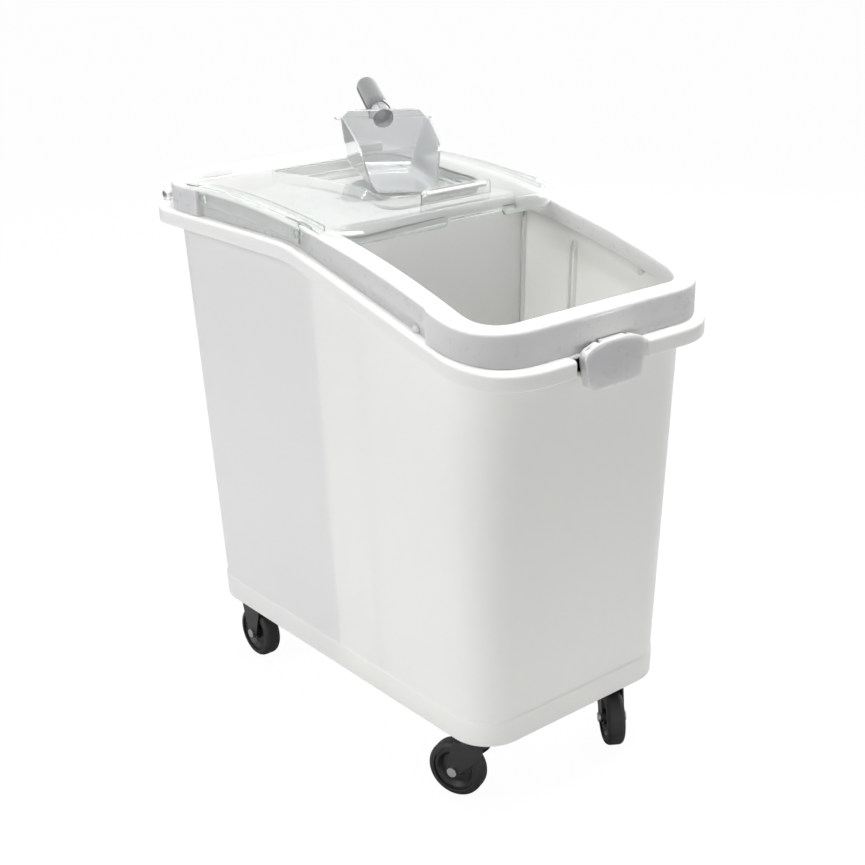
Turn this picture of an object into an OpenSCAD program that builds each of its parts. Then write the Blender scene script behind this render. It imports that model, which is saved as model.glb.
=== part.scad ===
// Mobile ingredient bin with a slanted top. A tapered tub on four swivel casters carries a
// hinged top frame, and a clear cover slides down the frame's curved tracks over the opening.
// Millimetres, +Z up. Origin: centre of the base on the floor. The low front faces -Y.

/* [Shown] */
// node to draw

/* [Bin] */
// overall length over the tub flange
bin_length = 730; // [700:5:760]
// overall width over the tub flange
bin_width = 394; // [370:2:420]
// height of the frame's rim at the rear
rim_height = 730; // [715:1:745]
// height of the frame's rim at the front
front_rim_height = 647; // [636:1:655]
// height of the tub's bottom edge above the floor
base_height = 108; // [106:1:116]
// amount by which the foot of the tub is narrower than the flange, each side
foot_side_inset = 37.5; // [32:0.5:44]
// amount by which the foot of the tub is shorter than the flange, each end
foot_end_inset = 60.5; // [52:0.5:68]
// corner radius at the foot
foot_radius = 50; // [40:1:60]
// corner radius of the tub below the flange
mouth_radius = 80; // [70:1:86]
// wall thickness of the tub
wall = 3.5; // [3:0.1:4]

/* [Flange] */
// height of the flange's outer lip
lip_height = 21; // [17:0.5:25]
// thickness of the lip and of its top plate
lip_wall = 3.4; // [2.8:0.1:4]
// flange corner radius, front
flange_radius_front = 88; // [80:1:94]
// flange corner radius, rear
flange_radius_rear = 70; // [66:1:80]
// where the flange starts to fall, from the middle of the bin
fall_start = 10; // [0:1:20]
// distance from the bin's front to the end of the flange's slope
fall_inset = 27; // [22:1:40]
// height of the upstand that locates the frame
upstand_height = 11; // [8:0.5:13]
// height of the stepped band round the foot
band_height = 35; // [28:1:42]
// how far the band stands out
band_step = 2.2; // [1.5:0.1:3]

/* [Top frame] */
// distance from the flange's side to the frame's side
frame_side_inset = 4.4; // [3.5:0.1:6]
// distance from the flange's front to the frame's front
frame_front_inset = 17; // [15:0.5:19]
// distance from the flange's rear to the frame's rear
frame_rear_inset = 24.5; // [24:0.5:30]
// corner radius of the frame
frame_radius = 80; // [74:1:84]
// width of the rim's flat top at the sides
rim_width = 31; // [28:0.5:34]
// width of the rim's flat top at the front
front_rim_width = 29; // [26:0.5:32]
// thickness of the rim's top
rim_thick = 5; // [4:0.2:6]
// thickness of the frame's outer wall
frame_wall = 3.2; // [2.6:0.1:3.6]
// thickness of the frame's inner wall
skirt_wall = 3; // [2.4:0.1:3.4]
// depth of the inner wall below the rim
inner_drop = 27; // [24:0.5:30]
// corner radius of the opening
opening_radius = 40; // [34:1:46]
// front edge of the rear deck, from the middle of the bin
deck_front = -8; // [-12:0.5:-4]
// depth of the rear deck below the rim
deck_drop = 26; // [24:0.5:28]
// thickness of the deck
deck_thick = 3; // [2.5:0.1:3.5]
// rear edge of the sunk deck
deck_rear = 262; // [260:1:270]

/* [Track] */
// radius of the curved track
track_radius = 1512; // [1480:2:1560]
// where the track is highest, from the middle of the bin
track_crest = 181; // [172:1:190]
// radius that blends the track into the level front rim
blend_radius = 150; // [120:5:180]
// depth of the track's recess behind the rim's edge
track_depth = 4.8; // [4.4:0.1:5.2]
// front end of the track
track_front = -254.6; // [-258:0.2:-253]
// rear end of the track
track_rear = 221; // [218:0.5:226]

/* [Sliding cover] */
// thickness of the clear sheet
sheet = 2.6; // [2.2:0.1:3]
// height of the cover's crown above the rear rim
cover_rise = 6.5; // [5:0.5:10]
// height of the cover's sides above the rim
side_rise = 6.2; // [6:0.1:7]
// amount by which the cover is arched from side to side
cover_arch = 7.8; // [6:0.2:9]
// where the cover is highest
cover_crest = 140; // [130:1:150]
// radius of the cover's top
cover_radius = 1600; // [1500:10:1700]
// front edge of the cover when it is slid back
cover_front = -90; // [-94:1:-86]
// rear edge of the cover when it is slid back
cover_rear = 250; // [244:1:253]
// front corner radius of the cover
cover_corner = 60; // [50:1:66]
// height of the cover's edge above the rim
cover_edge = 3.3; // [3.2:0.1:3.6]
// depth of the front lip below the rim's line
lip_drop = 5; // [3:0.5:6]
// front end of the side skirts
skirt_front = -18; // [-20:0.5:-16]
// rear end of the side skirts
skirt_rear = 214; // [210:0.5:216]
// depth of the side skirts below the rim
skirt_drop = 22; // [19:0.5:24]
// running clearance between the cover and the frame
run_gap = 0.4; // [0.3:0.05:0.6]
// sideways place of the scoop tray, the pull and the finger notch
tray_shift = 25; // [10:1:35]
// depth of the scoop tray
tray_depth = 15; // [10:0.5:16]
// width of the pull
pull_width = 113; // [90:1:125]
// height of the pull
pull_height = 17; // [12:0.5:20]
// width of the finger notch in the front edge
notch_width = 98; // [80:1:110]

/* [Casters] */
// wheel diameter
wheel_d = 76; // [70:1:78]
// wheel width
wheel_w = 25; // [22:0.5:28]
// distance from the swivel axis to the front wheel's axle
trail = 27; // [24:0.5:30]
// distance of the casters from the foot's sides
caster_side_inset = 41.5; // [38:0.5:48]
// distance of the swivel casters from the foot's front
front_caster_inset = 61.5; // [54:0.5:70]
// distance of the fixed casters from the foot's rear
rear_caster_inset = 45.5; // [44:0.5:56]
// swivel angle of the front left caster
swivel_fl = 22; // [-30:0.5:60]
// swivel angle of the front right caster
swivel_fr = 146; // [120:1:180]

/* [Latch] */
// width of the latch
latch_width = 100; // [90:1:104]
// height of the latch
latch_height = 56; // [52:1:58]
// depth of the latch
latch_depth = 11; // [10:0.5:12]
// sideways place of the latch
latch_shift = -6; // [-12:0.5:12]
// gap in the flange to the left of the latch
gate_left = 12; // [3:0.5:14]
// gap in the flange to the right of the latch
gate_right = 3; // [2.5:0.5:14]

/* [Scoop] */
// width across the scoop's top at the rear
scoop_width = 120; // [110:1:126]
// width of the scoop's floor
scoop_floor = 88; // [80:1:94]
// height of the scoop's rear wall
scoop_height = 74; // [60:1:76]
// height of the scoop's side walls at their front corner
scoop_nose = 55; // [40:1:60]
// length of the scoop's floor
scoop_length = 153; // [140:1:160]
// forward lean of the rear wall
scoop_lean = 22; // [10:1:26]
// wall of the scoop
scoop_wall = 2.4; // [2:0.1:3]
// height by which the middle of the rear wall stands above its corners
scoop_hood = 11; // [8:0.5:13]
// length of the handle
handle_length = 80; // [70:1:90]
// diameter of the handle
handle_d = 31; // [26:1:32]

/* [Hidden] */
$fn = 64;
eps = 0.02;
gap = 0.3;

white = [0.95, 0.95, 0.93];
clear = [0.85, 0.9, 0.92, 0.45];
black = [0.08, 0.08, 0.09];
steel = [0.75, 0.76, 0.78];
grey = [0.35, 0.36, 0.38];

half_w = bin_width / 2;
half_l = bin_length / 2;
far = half_l + 60;
sky = rim_height + 170;
cover_crown = rim_height + cover_rise;

fall_end = -half_l + fall_inset;

frame_x = half_w - frame_side_inset;
frame_y0 = -half_l + frame_front_inset;
frame_y1 = half_l - frame_rear_inset;
open_x = frame_x - rim_width;
open_y0 = frame_y0 + front_rim_width;
inner_x = open_x + skirt_wall;

// curved track, seen from the side
track_z = rim_height - track_radius;
blend_angle = acos((front_rim_height + blend_radius - track_z) / (track_radius + blend_radius));
blend_y = track_crest - (track_radius + blend_radius) * sin(blend_angle);

// flange line: under edge of the lip at the rear and the front
seat_rear = rim_height - 38;
seat_front = front_rim_height - 44;
low_rear = seat_rear - lip_height;
low_front = seat_front - lip_height;
// tub walls reach this height at the rear
mouth_z = seat_rear;
mouth_x = half_w - 16.3;
mouth_y = half_l - 24;
foot_x = half_w - foot_side_inset;
foot_y = half_l - foot_end_inset;
floor_z = base_height + 2;

rim_edge = frame_x - sheet - 2 * run_gap + 0.2;
track_face = rim_edge - track_depth;
track_back = track_face - 2.4;
cover_x = frame_x - 0.2;
skirt_in = cover_x - sheet;
nub_r = track_radius - rim_thick - run_gap - 5.5;

// hinge
hinge_y = half_l - 18;
hinge_z = seat_rear + 9;
hinge_x = frame_x - 42.6;
knuckle_r = 5.5;
knuckle_half = 11;
upstand_rear = hinge_y - norm([hinge_y - frame_y1 + frame_wall, hinge_z - seat_rear]) - 2.5;
lug_thick = 6;
pin_r = 2.5;
pin_gap = 0.06;

// latch
latch_y = frame_y0 - 10;
latch_face = latch_y - 6.5;
latch_top = seat_front + 13;
latch_low = latch_top - latch_height;
latch_wall = 3;
ear_r = 3.2;
latch_z = latch_top - latch_wall - ear_r - gap;
halo_r = 78;
halo_rise = 5.5;
shelf_z = latch_low + 11;
ear_x = 22;
ear_thick = 5;
arm_x = ear_x + ear_thick / 2 + 0.4;

// casters
caster_x = foot_x - caster_side_inset;
front_caster_y = foot_y - front_caster_inset;
rear_caster_y = foot_y - rear_caster_inset;
plate_thick = 3.2;
plate_z = floor_z - plate_thick;
wheel_r = wheel_d / 2;
crown_z = wheel_d + 4.5;
crown_thick = 3;
race_r = 21;
race_split = (crown_z + crown_thick + plate_z) / 2;
leg_thick = 2.5;
leg_in = wheel_w / 2 + 0.5;
axle_r = 4;
king_r = 5;
hub_r = wheel_r - 9;

// ---- helpers ----

function rev(a) = [for (i = [len(a) - 1:-1:0]) a[i]];

function arc_pts(cy, cz, r, a0, a1, n) =
    [for (i = [0:n]) let (a = a0 + (a1 - a0) * i / n) [cy - r * sin(a), cz + r * cos(a)]];

// corner b between a and c rounded to radius r
function corner(a, b, c, r, n = 6) = let (
    u = (a - b) / norm(a - b),
    v = (c - b) / norm(c - b),
    half = acos(max(-1, min(1, u * v))) / 2,
    t = r / tan(half),
    m = (u + v) / norm(u + v),
    o = b + m * (r / sin(half)),
    p = b + u * t - o,
    q = b + v * t - o,
    a0 = atan2(p[1], p[0]),
    turn = atan2(p[0] * q[1] - p[1] * q[0], p * q)
) [for (i = [0:n]) o + r * [cos(a0 + turn * i / n), sin(a0 + turn * i / n)]];

function rounded(pts, radii, n = 6) = [for (i = [0:len(pts) - 1])
    each (radii[i] <= 0 ? [pts[i]] : corner(pts[(i + len(pts) - 1) % len(pts)], pts[i],
        pts[(i + 1) % len(pts)], radii[i], n))];

// rim line raised by d, rear to front
function rim_line(d) = concat(
    [[far, rim_height + d]],
    arc_pts(track_crest, track_z, track_radius + d, 0, blend_angle, 22),
    [for (i = [1:6]) let (b = blend_angle * (1 - i / 6))
        [blend_y + (blend_radius - d) * sin(b),
            front_rim_height + blend_radius - (blend_radius - d) * cos(b)]],
    [[-far, front_rim_height + d]]);

// flange line raised by d, rear to front
function seat_line(d) = let (
    a = [far, low_rear + d],
    b = [fall_start, low_rear + d],
    c = [fall_end, low_front + d],
    e = [-far, low_front + d]
) concat([a], corner(a, b, c, 120, 5), corner(b, c, e, 160, 5), [e]);

// concentric line over the track, from y1 at the rear to y0 at the front
function track_line(d, y1, y0, n = 16) = let (
    r = track_radius + d,
    a1 = asin((track_crest - y1) / r),
    a0 = asin((track_crest - y0) / r)
) arc_pts(track_crest, track_z, r, a1, a0, n);

function cover_z(y) = cover_crown - cover_radius
    + sqrt(cover_radius * cover_radius - (y - cover_crest) * (y - cover_crest));

function cover_line(d, y1, y0, n = 16) = [for (i = [0:n]) let (y = y1 + (y0 - y1) * i / n)
    [y, cover_z(y) + d]];

module side_view(pts, x0, x1)
    translate([x0, 0, 0]) rotate([90, 0, 90]) linear_extrude(x1 - x0) polygon(pts);

module front_view(pts, y0, y1)
    translate([0, y1, 0]) rotate([90, 0, 0]) linear_extrude(y1 - y0) polygon(pts);

// space between a lower and an upper line
module between(low, high) side_view(concat(high, rev(low)), -half_w - 20, half_w + 20);

module plate2(x, y0, y1, rf, rb) {
    translate([-x, y0 + rf]) square([2 * x, y1 - rb - y0 - rf]);
    translate([-x + rf, y0]) square([2 * x - 2 * rf, rf + 1]);
    translate([-x + rb, y1 - rb - 1]) square([2 * x - 2 * rb, rb + 1]);
    for (s = [-1, 1]) {
        translate([s * (x - rf), y0 + rf]) circle(rf);
        translate([s * (x - rb), y1 - rb]) circle(rb);
    }
}

module column(x, y0, y1, rf, rb, z0 = 0, z1 = sky)
    translate([0, 0, z0]) linear_extrude(z1 - z0) plate2(x, y0, y1, rf, rb);

module ring(x, y0, y1, rf, rb, t) difference() {
    column(x, y0, y1, rf, rb);
    column(x - t, y0 + t, y1 - t, max(1, rf - t), max(1, rb - t), -1, sky + 1);
}

module slab(x, y, r, z, h = 0.01) translate([0, 0, z]) linear_extrude(h) plate2(x, -y, y, r, r);

// ---- tub ----

// tapered block; t moves its walls inwards, z0 is its bottom
module taper(t, z0) let (
    s0 = (z0 - base_height) / (mouth_z - base_height),
    top = mouth_z + 30,
    s1 = (top - base_height) / (mouth_z - base_height)
) hull() {
    slab(foot_x + (mouth_x - foot_x) * s0 - t, foot_y + (mouth_y - foot_y) * s0 - t,
        foot_radius + (mouth_radius - foot_radius) * s0 - t, z0);
    slab(foot_x + (mouth_x - foot_x) * s1 - t, foot_y + (mouth_y - foot_y) * s1 - t,
        foot_radius + (mouth_radius - foot_radius) * s1 - t, top);
}

module band() let (s1 = band_height / (mouth_z - base_height)) hull() {
    slab(foot_x + band_step - 0.6, foot_y + band_step - 0.6, foot_radius, base_height);
    slab(foot_x + (mouth_x - foot_x) * s1 + band_step, foot_y + (mouth_y - foot_y) * s1 + band_step,
        foot_radius + band_step, base_height + band_height);
}

rib = 4;
slot = 5;
slot_y = [deck_front - 4.5, deck_front - 103];

module slot_ribs() intersection() {
    taper(wall / 2, floor_z + 1);
    difference() {
        for (y = slot_y, s = [-1, 1]) translate([-half_w, y + s * (slot + rib) / 2 - rib / 2, floor_z])
            cube([bin_width, rib, seat_rear]);
        taper(wall + 6, floor_z + wall - eps);
    }
    between([[far, 0], [-far, 0]], seat_line(lip_height - 6));
}

module hinge_lug(x) translate([x - lug_thick / 2, 0, 0]) difference() {
    union() {
        translate([0, hinge_y, hinge_z]) rotate([0, 90, 0]) cylinder(r = knuckle_r + 0.5, h = lug_thick);
        translate([0, hinge_y - knuckle_r - 0.5, seat_rear - 1])
            cube([lug_thick, 2 * knuckle_r + 1, hinge_z - seat_rear + 1]);
    }
    translate([-1, hinge_y, hinge_z]) rotate([0, 90, 0]) cylinder(r = pin_r + pin_gap, h = lug_thick + 2);
}

module tub() color(white) {
    difference() {
        union() {
            intersection() {
                union() {
                    taper(0, base_height + 1);
                    band();
                }
                between([[far, 0], [-far, 0]], seat_line(lip_height));
            }
            intersection() {
                column(half_w, -half_l, half_l, flange_radius_front, flange_radius_rear);
                between(seat_line(lip_height - lip_wall), seat_line(lip_height));
            }
            intersection() {
                ring(half_w, -half_l, half_l, flange_radius_front, flange_radius_rear, lip_wall);
                between(seat_line(0), seat_line(lip_height - 1));
            }
        }
        taper(wall, floor_z + wall);
        translate([0, 0, base_height - 1]) linear_extrude(3)
            plate2(foot_x - 3, -foot_y + 3, foot_y - 3, foot_radius - 3, foot_radius - 3);
        latch_gate();
        for (i = [0:3]) at_caster(i) bolt_places() translate([0, 0, floor_z - 3])
            cylinder(r = bolt_r + bolt_gap, h = wall + 4);
    }
    upstand();
    slot_ribs();
    for (s = [-1, 1], t = [-1, 1]) hinge_lug(s * hinge_x + t * (knuckle_half + lug_thick / 2 + gap));
    latch_shelf();
}

module upstand() intersection() {
    ring(track_back - 0.8, -half_l + 24.6, upstand_rear, mouth_radius - 2, mouth_radius - 2, 3.2);
    between(seat_line(lip_height - 1), seat_line(lip_height + upstand_height));
}

// gap in the flange that the latch hangs in
module latch_gate() translate([latch_shift - latch_width / 2 - gate_left, -half_l - 1, latch_low - 5])
    cube([latch_width + gate_left + gate_right, 1 + half_l + latch_face + latch_depth + 1.5,
        latch_height + 10]);

module latch_shelf() translate([latch_shift - 34, -half_l + 17, shelf_z])
    cube([68, half_l - mouth_y + 8 - 11, 4]);

// ---- partition ----

module partition() color(white) {
    y = slot_y[0];
    z0 = floor_z + wall + gap;
    z1 = seat_rear - 6;
    x0 = foot_x + (mouth_x - foot_x) * (z0 - base_height) / (mouth_z - base_height) - wall - 1.2;
    x1 = foot_x + (mouth_x - foot_x) * (z1 - base_height) / (mouth_z - base_height) - wall - 1.2;
    front_view(rounded([[-x0, z0], [x0, z0], [x1, z1], [-x1, z1]], [10, 10, 4, 4]),
        y - slot / 2 + 0.3, y + slot / 2 - 0.3);
}

// ---- top frame ----

module recess_zone(x, z_low) for (s = [-1, 1]) {
    ramp = 6;
    pts = concat(track_line(-rim_thick, track_rear, track_front, 20),
        [[track_front, z_low], [track_rear - ramp, z_low]]);
    side_view(pts, s > 0 ? x : -half_w - 5, s > 0 ? half_w + 5 : -x);
}

module frame_body() {
    // rim top
    difference() {
        intersection() {
            column(frame_x, frame_y0, frame_y1, frame_radius, frame_radius);
            between(rim_line(-rim_thick), rim_line(0));
        }
        column(open_x, open_y0, deck_rear, opening_radius, 14, -1, sky + 1);
        // rim edge set back for the cover's skirts
        for (s = [-1, 1]) translate([s > 0 ? rim_edge : -half_w - 5, track_front, 0])
            cube([half_w + 5 - rim_edge, track_rear - track_front, sky]);
    }
    // outer wall with the track recesses
    difference() {
        intersection() {
            ring(frame_x, frame_y0, frame_y1, frame_radius, frame_radius, frame_wall);
            between(seat_line(lip_height + gap), rim_line(-rim_thick + 1));
        }
        recess_zone(track_face, 300);
        for (s = [-1, 1]) translate([s > 0 ? rim_edge : -half_w - 5, track_front, 0])
            cube([half_w + 5 - rim_edge, track_rear - track_front, sky]);
    }
    // set back wall of the tracks, with its end returns
    intersection() {
        column(frame_x - 0.5, frame_y0, frame_y1, frame_radius - 0.5, frame_radius - 0.5);
        between(seat_line(lip_height + gap), rim_line(-rim_thick + 1));
        for (s = [-1, 1]) {
            translate([s > 0 ? track_back : -track_face, track_front - 3, 0])
                cube([track_face - track_back, track_rear - track_front + 3, sky]);
            translate([s > 0 ? track_back : -frame_x, track_front - 3, 0])
                cube([frame_x - track_back, 3, sky]);
            translate([s > 0 ? track_back : -frame_x, track_rear, 0])
                cube([frame_x - track_back, 3, sky]);
        }
    }
    // inner wall round the opening
    intersection() {
        ring(inner_x, open_y0 - skirt_wall, deck_rear + skirt_wall, opening_radius + skirt_wall,
            17, skirt_wall);
        between(rim_line(-inner_drop), rim_line(-rim_thick + 1));
    }
    // sunk rear deck and its front lip
    intersection() {
        column(inner_x, deck_front, deck_rear + skirt_wall, 0.5, 17,
            rim_height - deck_drop - deck_thick, rim_height - deck_drop);
    }
    translate([-inner_x, deck_front, rim_height - deck_drop - 13]) cube([2 * inner_x, 3, 12]);
}

// small domes low in the front ends of the track recesses
module track_stops() intersection() {
    between(seat_line(lip_height + gap), seat_line(lip_height + 9));
    for (s = [-1, 1]) translate([s * (track_face - 3.5), track_front + 26, 0]) union() {
        z = low_front + lip_height + (seat_rear - seat_front) * (track_front + 26 - fall_end)
            / (fall_start - fall_end);
        translate([0, 0, z + 2.5]) sphere(7);
    }
    for (s = [-1, 1]) translate([s * (track_back + 12) - 11, track_front, floor_z]) cube([22, 60, sky]);
}

module frame() color(white) {
    frame_body();
    track_stops();
    frame_knuckles();
    latch_pad();
}

module frame_knuckles() for (s = [-1, 1]) translate([s * hinge_x - knuckle_half, 0, 0]) difference() {
    union() {
        translate([0, hinge_y, hinge_z]) rotate([0, 90, 0]) cylinder(r = knuckle_r, h = 2 * knuckle_half);
        difference() {
            translate([0, frame_y1 - 30, hinge_z]) cube([2 * knuckle_half, hinge_y - frame_y1 + 30, knuckle_r]);
            translate([-s * hinge_x + knuckle_half, 0, 0])
                column(frame_x - frame_wall + 0.6, frame_y0, frame_y1 - frame_wall + 0.6,
                    frame_radius - frame_wall + 0.6, frame_radius - frame_wall + 0.6);
        }
    }
    translate([-1, hinge_y, hinge_z]) rotate([0, 90, 0])
        cylinder(r = pin_r + pin_gap, h = 2 * knuckle_half + 2);
}

// domed pad round the latch, and the ears that carry its pin
module latch_pad() translate([latch_shift, 0, 0]) {
    difference() {
        intersection() {
            dome_r = (halo_r * halo_r + halo_rise * halo_rise) / (2 * halo_rise);
            translate([0, frame_y0 - halo_rise + dome_r, seat_front - 38]) sphere(dome_r, $fn = 200);
            translate([-halo_r, frame_y0 - halo_rise - 1, seat_front - 1])
                cube([2 * halo_r, halo_rise + 1.8, front_rim_height - seat_front - 8]);
            between(seat_line(lip_height + gap), [[far, sky], [-far, sky]]);
        }
        latch_block(-1.2, frame_y0 - 20, frame_y0 - 0.01);
    }
    for (s = [-1, 1]) translate([s * ear_x - ear_thick / 2, 0, 0]) difference() {
        union() {
            translate([0, latch_y, latch_z]) rotate([0, 90, 0]) cylinder(r = ear_r, h = ear_thick);
            translate([0, latch_y, latch_z - ear_r]) cube([ear_thick, frame_y0 + 1 - latch_y, 2 * ear_r]);
        }
        translate([-1, latch_y, latch_z]) rotate([0, 90, 0]) cylinder(r = 1.5 + pin_gap, h = ear_thick + 2);
    }
}

module hinge_pins() color(steel) for (s = [-1, 1]) translate([s * hinge_x, hinge_y, hinge_z])
    rotate([0, 90, 0]) {
        h = knuckle_half + gap + lug_thick;
        cylinder(r = pin_r, h = 2 * h + 1, center = true);
        for (t = [-1, 1]) translate([0, 0, t * (h + 0.3 + 0.75)]) cylinder(r = 4, h = 1.5, center = true);
    }

block_x = frame_x - 63.6;
block_half = 26.5;
module stop_blocks() color(clear) for (s = [-1, 1])
    front_view(rounded([[s * block_x - block_half, rim_height], [s * block_x + block_half, rim_height],
        [s * block_x + block_half - 1, rim_height + 11.5], [s * block_x - block_half + 1, rim_height + 11.5]],
        [0, 0, 5, 5], 4), deck_rear + 6, deck_rear + 26);

// ---- sliding cover ----

// arched band that follows the track, t below the cover's top
module crown_band(t) let (
    x1 = cover_x - 5.4,
    top = [for (i = [-6:6]) let (x = x1 * i / 6)
        [track_radius + side_rise + cover_arch * (1 - x * x / (x1 * x1)) - t, x]],
    edge = [[track_radius + side_rise - 1.7 - t, cover_x + 0.1], [track_radius - 40, cover_x + 0.1],
        [track_radius - 40, -cover_x - 0.1], [track_radius + side_rise - 1.7 - t, -cover_x - 0.1]]
) translate([0, track_crest, track_z]) rotate([0, 90, 0]) rotate_extrude($fn = 480)
    polygon(concat(top, edge));

module cover_shape(t, drop) intersection() {
    column(cover_x - t, cover_front + t, cover_rear - t, cover_corner - t, max(1, 7 - t));
    side_view(concat([[cover_rear, floor_z]],
        rounded(concat(cover_line(-drop, cover_rear, cover_front + t, 24), [[cover_front + t, floor_z]]),
            concat([0], [for (i = [1:23]) 0], [max(1, 10 - t), 0]), 5)), -half_w, half_w);
    crown_band(drop);
}

module tray_plan(t) polygon(rounded([
    [tray_shift - 97 - t, 232 + t], [tray_shift - 75 - t, 52], [tray_shift - 82 - t, -18 - t],
    [tray_shift + 82 + t, -18 - t], [tray_shift + 80 + t, 52], [tray_shift + 105 + t, 232 + t]],
    [14, 120, 24, 24, 120, 14], 6));

module cover() color(clear) difference() {
    union() {
        // sheet and its edges
        difference() {
            intersection() {
                cover_shape(0, 0);
                between(track_line(cover_edge, cover_rear + 1, cover_front - 1),
                    [[far, sky], [-far, sky]]);
            }
            difference() {
                cover_shape(sheet, sheet);
                // runners that ride on the rim
                runners();
            }
            linear_extrude(sky) tray_plan(0);
        }
        intersection() {
            runners();
            between(track_line(run_gap, cover_rear, cover_front), cover_line(-sheet / 2, cover_rear, cover_front));
            crown_band(sheet / 2);
        }
        // scoop tray
        intersection() {
            linear_extrude(sky) difference() {
                tray_plan(0.01);
                tray_plan(-sheet);
            }
            between(cover_line(-tray_depth - sheet, cover_rear, cover_front),
                cover_line(0, cover_rear, cover_front));
            crown_band(0);
        }
        intersection() {
            linear_extrude(sky) tray_plan(0);
            between(cover_line(-tray_depth - sheet, cover_rear, cover_front),
                cover_line(-tray_depth, cover_rear, cover_front));
        }
        // side skirts and the nubs that run under the rim
        for (s = [-1, 1]) side_view(concat(track_line(cover_edge + 1, skirt_rear, skirt_front, 12),
            rev(track_line(-skirt_drop, skirt_rear, skirt_front, 12))),
            s > 0 ? skirt_in : -cover_x, s > 0 ? cover_x : -skirt_in);
        for (s = [-1, 1], y = [skirt_front + 8, skirt_rear - 8]) nub(s, y);
        front_lip();
        pull();
    }
    // finger notch
    translate([tray_shift, 0, 0]) front_view(rounded([
        [-notch_width / 2 - 3, lip_z - 9], [notch_width / 2 + 3, lip_z - 9], [notch_width / 2 - 5, lip_z + 7],
        [-notch_width / 2 + 5, lip_z + 7]], [0, 0, 6, 6]), cover_front - 5, cover_front + sheet + 2);
}

// bottom of the front lip
lip_z = track_z + sqrt(track_radius * track_radius - pow(track_crest - cover_front, 2)) - lip_drop;

module front_lip() let (x = cover_x - cover_corner) front_view(rounded([
    [-x + 6, lip_z], [x - 6, lip_z], [x, lip_z + lip_drop + cover_edge + 2],
    [-x, lip_z + lip_drop + cover_edge + 2]], [6, 6, 0, 0]), cover_front, cover_front + sheet);

// ribs under the cover that ride on the rim
module runners() for (s = [-1, 1]) translate([s * (open_x + 13) - 1.3, cover_front + 44, floor_z])
    cube([2.6, track_crest + 28 - cover_front - 44, sky]);

module nub(s, y) let (a = asin((track_crest - y) / nub_r))
    translate([s > 0 ? track_face + run_gap : -cover_x + 1, track_crest - nub_r * sin(a),
        track_z + nub_r * cos(a)])
        rotate([0, 90, 0]) cylinder(r = 5.4, h = cover_x - 1 - track_face - run_gap);

module pull() {
    y = -52;
    z = cover_z(y);
    translate([tray_shift, 0, 0]) {
        front_view(rounded([[-pull_width / 2, z - 3.5], [pull_width / 2, z - 3.5],
            [pull_width / 2, z + pull_height], [-pull_width / 2, z + pull_height]], [0, 0, 7, 7]),
            y - 1.5, y + 1.5);
        translate([-pull_width / 2 + 6, y - 4, z + pull_height - 9]) cube([pull_width - 12, 8, 6]);
    }
}

// ---- latch ----

module latch() color(white) translate([latch_shift, 0, 0]) difference() {
    union() {
        difference() {
            latch_block(0, latch_face, latch_face + latch_depth);
            latch_block(latch_wall, latch_face + latch_wall, latch_face + latch_depth + 1);
            // slots that clear the frame's ears as the latch swings up
            for (s = [-1, 1]) translate([s * ear_x - ear_thick / 2 - 0.8, latch_y - ear_r, latch_z])
                cube([ear_thick + 1.6, latch_depth, latch_height]);
        }
        // arms beside the ears
        for (s = [-1, 1]) translate([s > 0 ? arm_x : -arm_x - 4, 0, 0]) {
            translate([0, latch_y, latch_z]) rotate([0, 90, 0]) cylinder(r = ear_r + 0.5, h = 4);
            translate([0, latch_face + 2, latch_z - ear_r - 0.5])
                cube([4, latch_y - latch_face - 2, 2 * ear_r + 1]);
        }
        // hook under the tub's shelf
        translate([-30, latch_face + 2, shelf_z - gap - 3.5]) cube([60, 20, 3.5]);
    }
    translate([-60, latch_y, latch_z]) rotate([0, 90, 0]) cylinder(r = 1.5 + pin_gap, h = 120);
}

module latch_block(t, y0, y1) front_view(rounded([
    [-latch_width / 2 + 9 + t, latch_low + t], [latch_width / 2 - 9 - t, latch_low + t],
    [latch_width / 2 - t, latch_top - 9 - t], [latch_width / 4 - t / 2, latch_top - t],
    [-latch_width / 4 + t / 2, latch_top - t], [-latch_width / 2 + t, latch_top - 9 - t]],
    [12 - t, 12 - t, 12 - t, 60, 60, 12 - t], 8), y0, y1);

module latch_pin() color(steel) translate([latch_shift, latch_y, latch_z]) rotate([0, 90, 0])
    cylinder(r = 1.5, h = 2 * arm_x + 8, center = true);

// ---- scoop ----

scoop_yaw = -24.5;
scoop_pitch = 2.2;
scoop_roll = 2.6;
scoop_at = [77, 176.5, cover_z(20) - tray_depth + 9.1];
heel_r = 22;
nose_y = -scoop_length + 37;
scoop_top = scoop_height + scoop_hood;
handle_tilt = 13;
handle_y = 22.4;
handle_z = scoop_height + 8;
socket_depth = 48;
spigot_r = 6;
spigot_length = 24;

module scoop_pose() translate(scoop_at) rotate([0, 0, scoop_yaw]) rotate([scoop_pitch, 0, 0])
    rotate([0, scoop_roll, 0]) children();

module scoop_section(t, up) front_view(rounded([
    [-scoop_floor / 2 + t, t], [scoop_floor / 2 - t, t],
    [scoop_width / 2 - t + up / 5, scoop_height + up], [-scoop_width / 2 + t - up / 5, scoop_height + up]],
    [18 - t, 18 - t, 0, 0], 8), -scoop_length - 30, 30);

// upper edge of the rear wall, raised in the middle
module scoop_hood_zone() rotate([90, 0, 0]) translate([0, 0, -60]) linear_extrude(120 + scoop_length)
    polygon(rounded([[-scoop_width, -5], [scoop_width, -5], [scoop_width, scoop_height],
        [scoop_width / 2 - 2, scoop_height], [scoop_width / 2 - 12, scoop_height + scoop_hood],
        [-scoop_width / 2 + 12, scoop_height + scoop_hood], [-scoop_width / 2 + 2, scoop_height],
        [-scoop_width, scoop_height]], [0, 0, 0, 3, 9, 9, 3, 0], 5));

// line of the handle: z runs along it, away from the bowl
module on_handle() translate([0, handle_y, handle_z]) rotate([handle_tilt - 90, 0, 0]) children();

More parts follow.
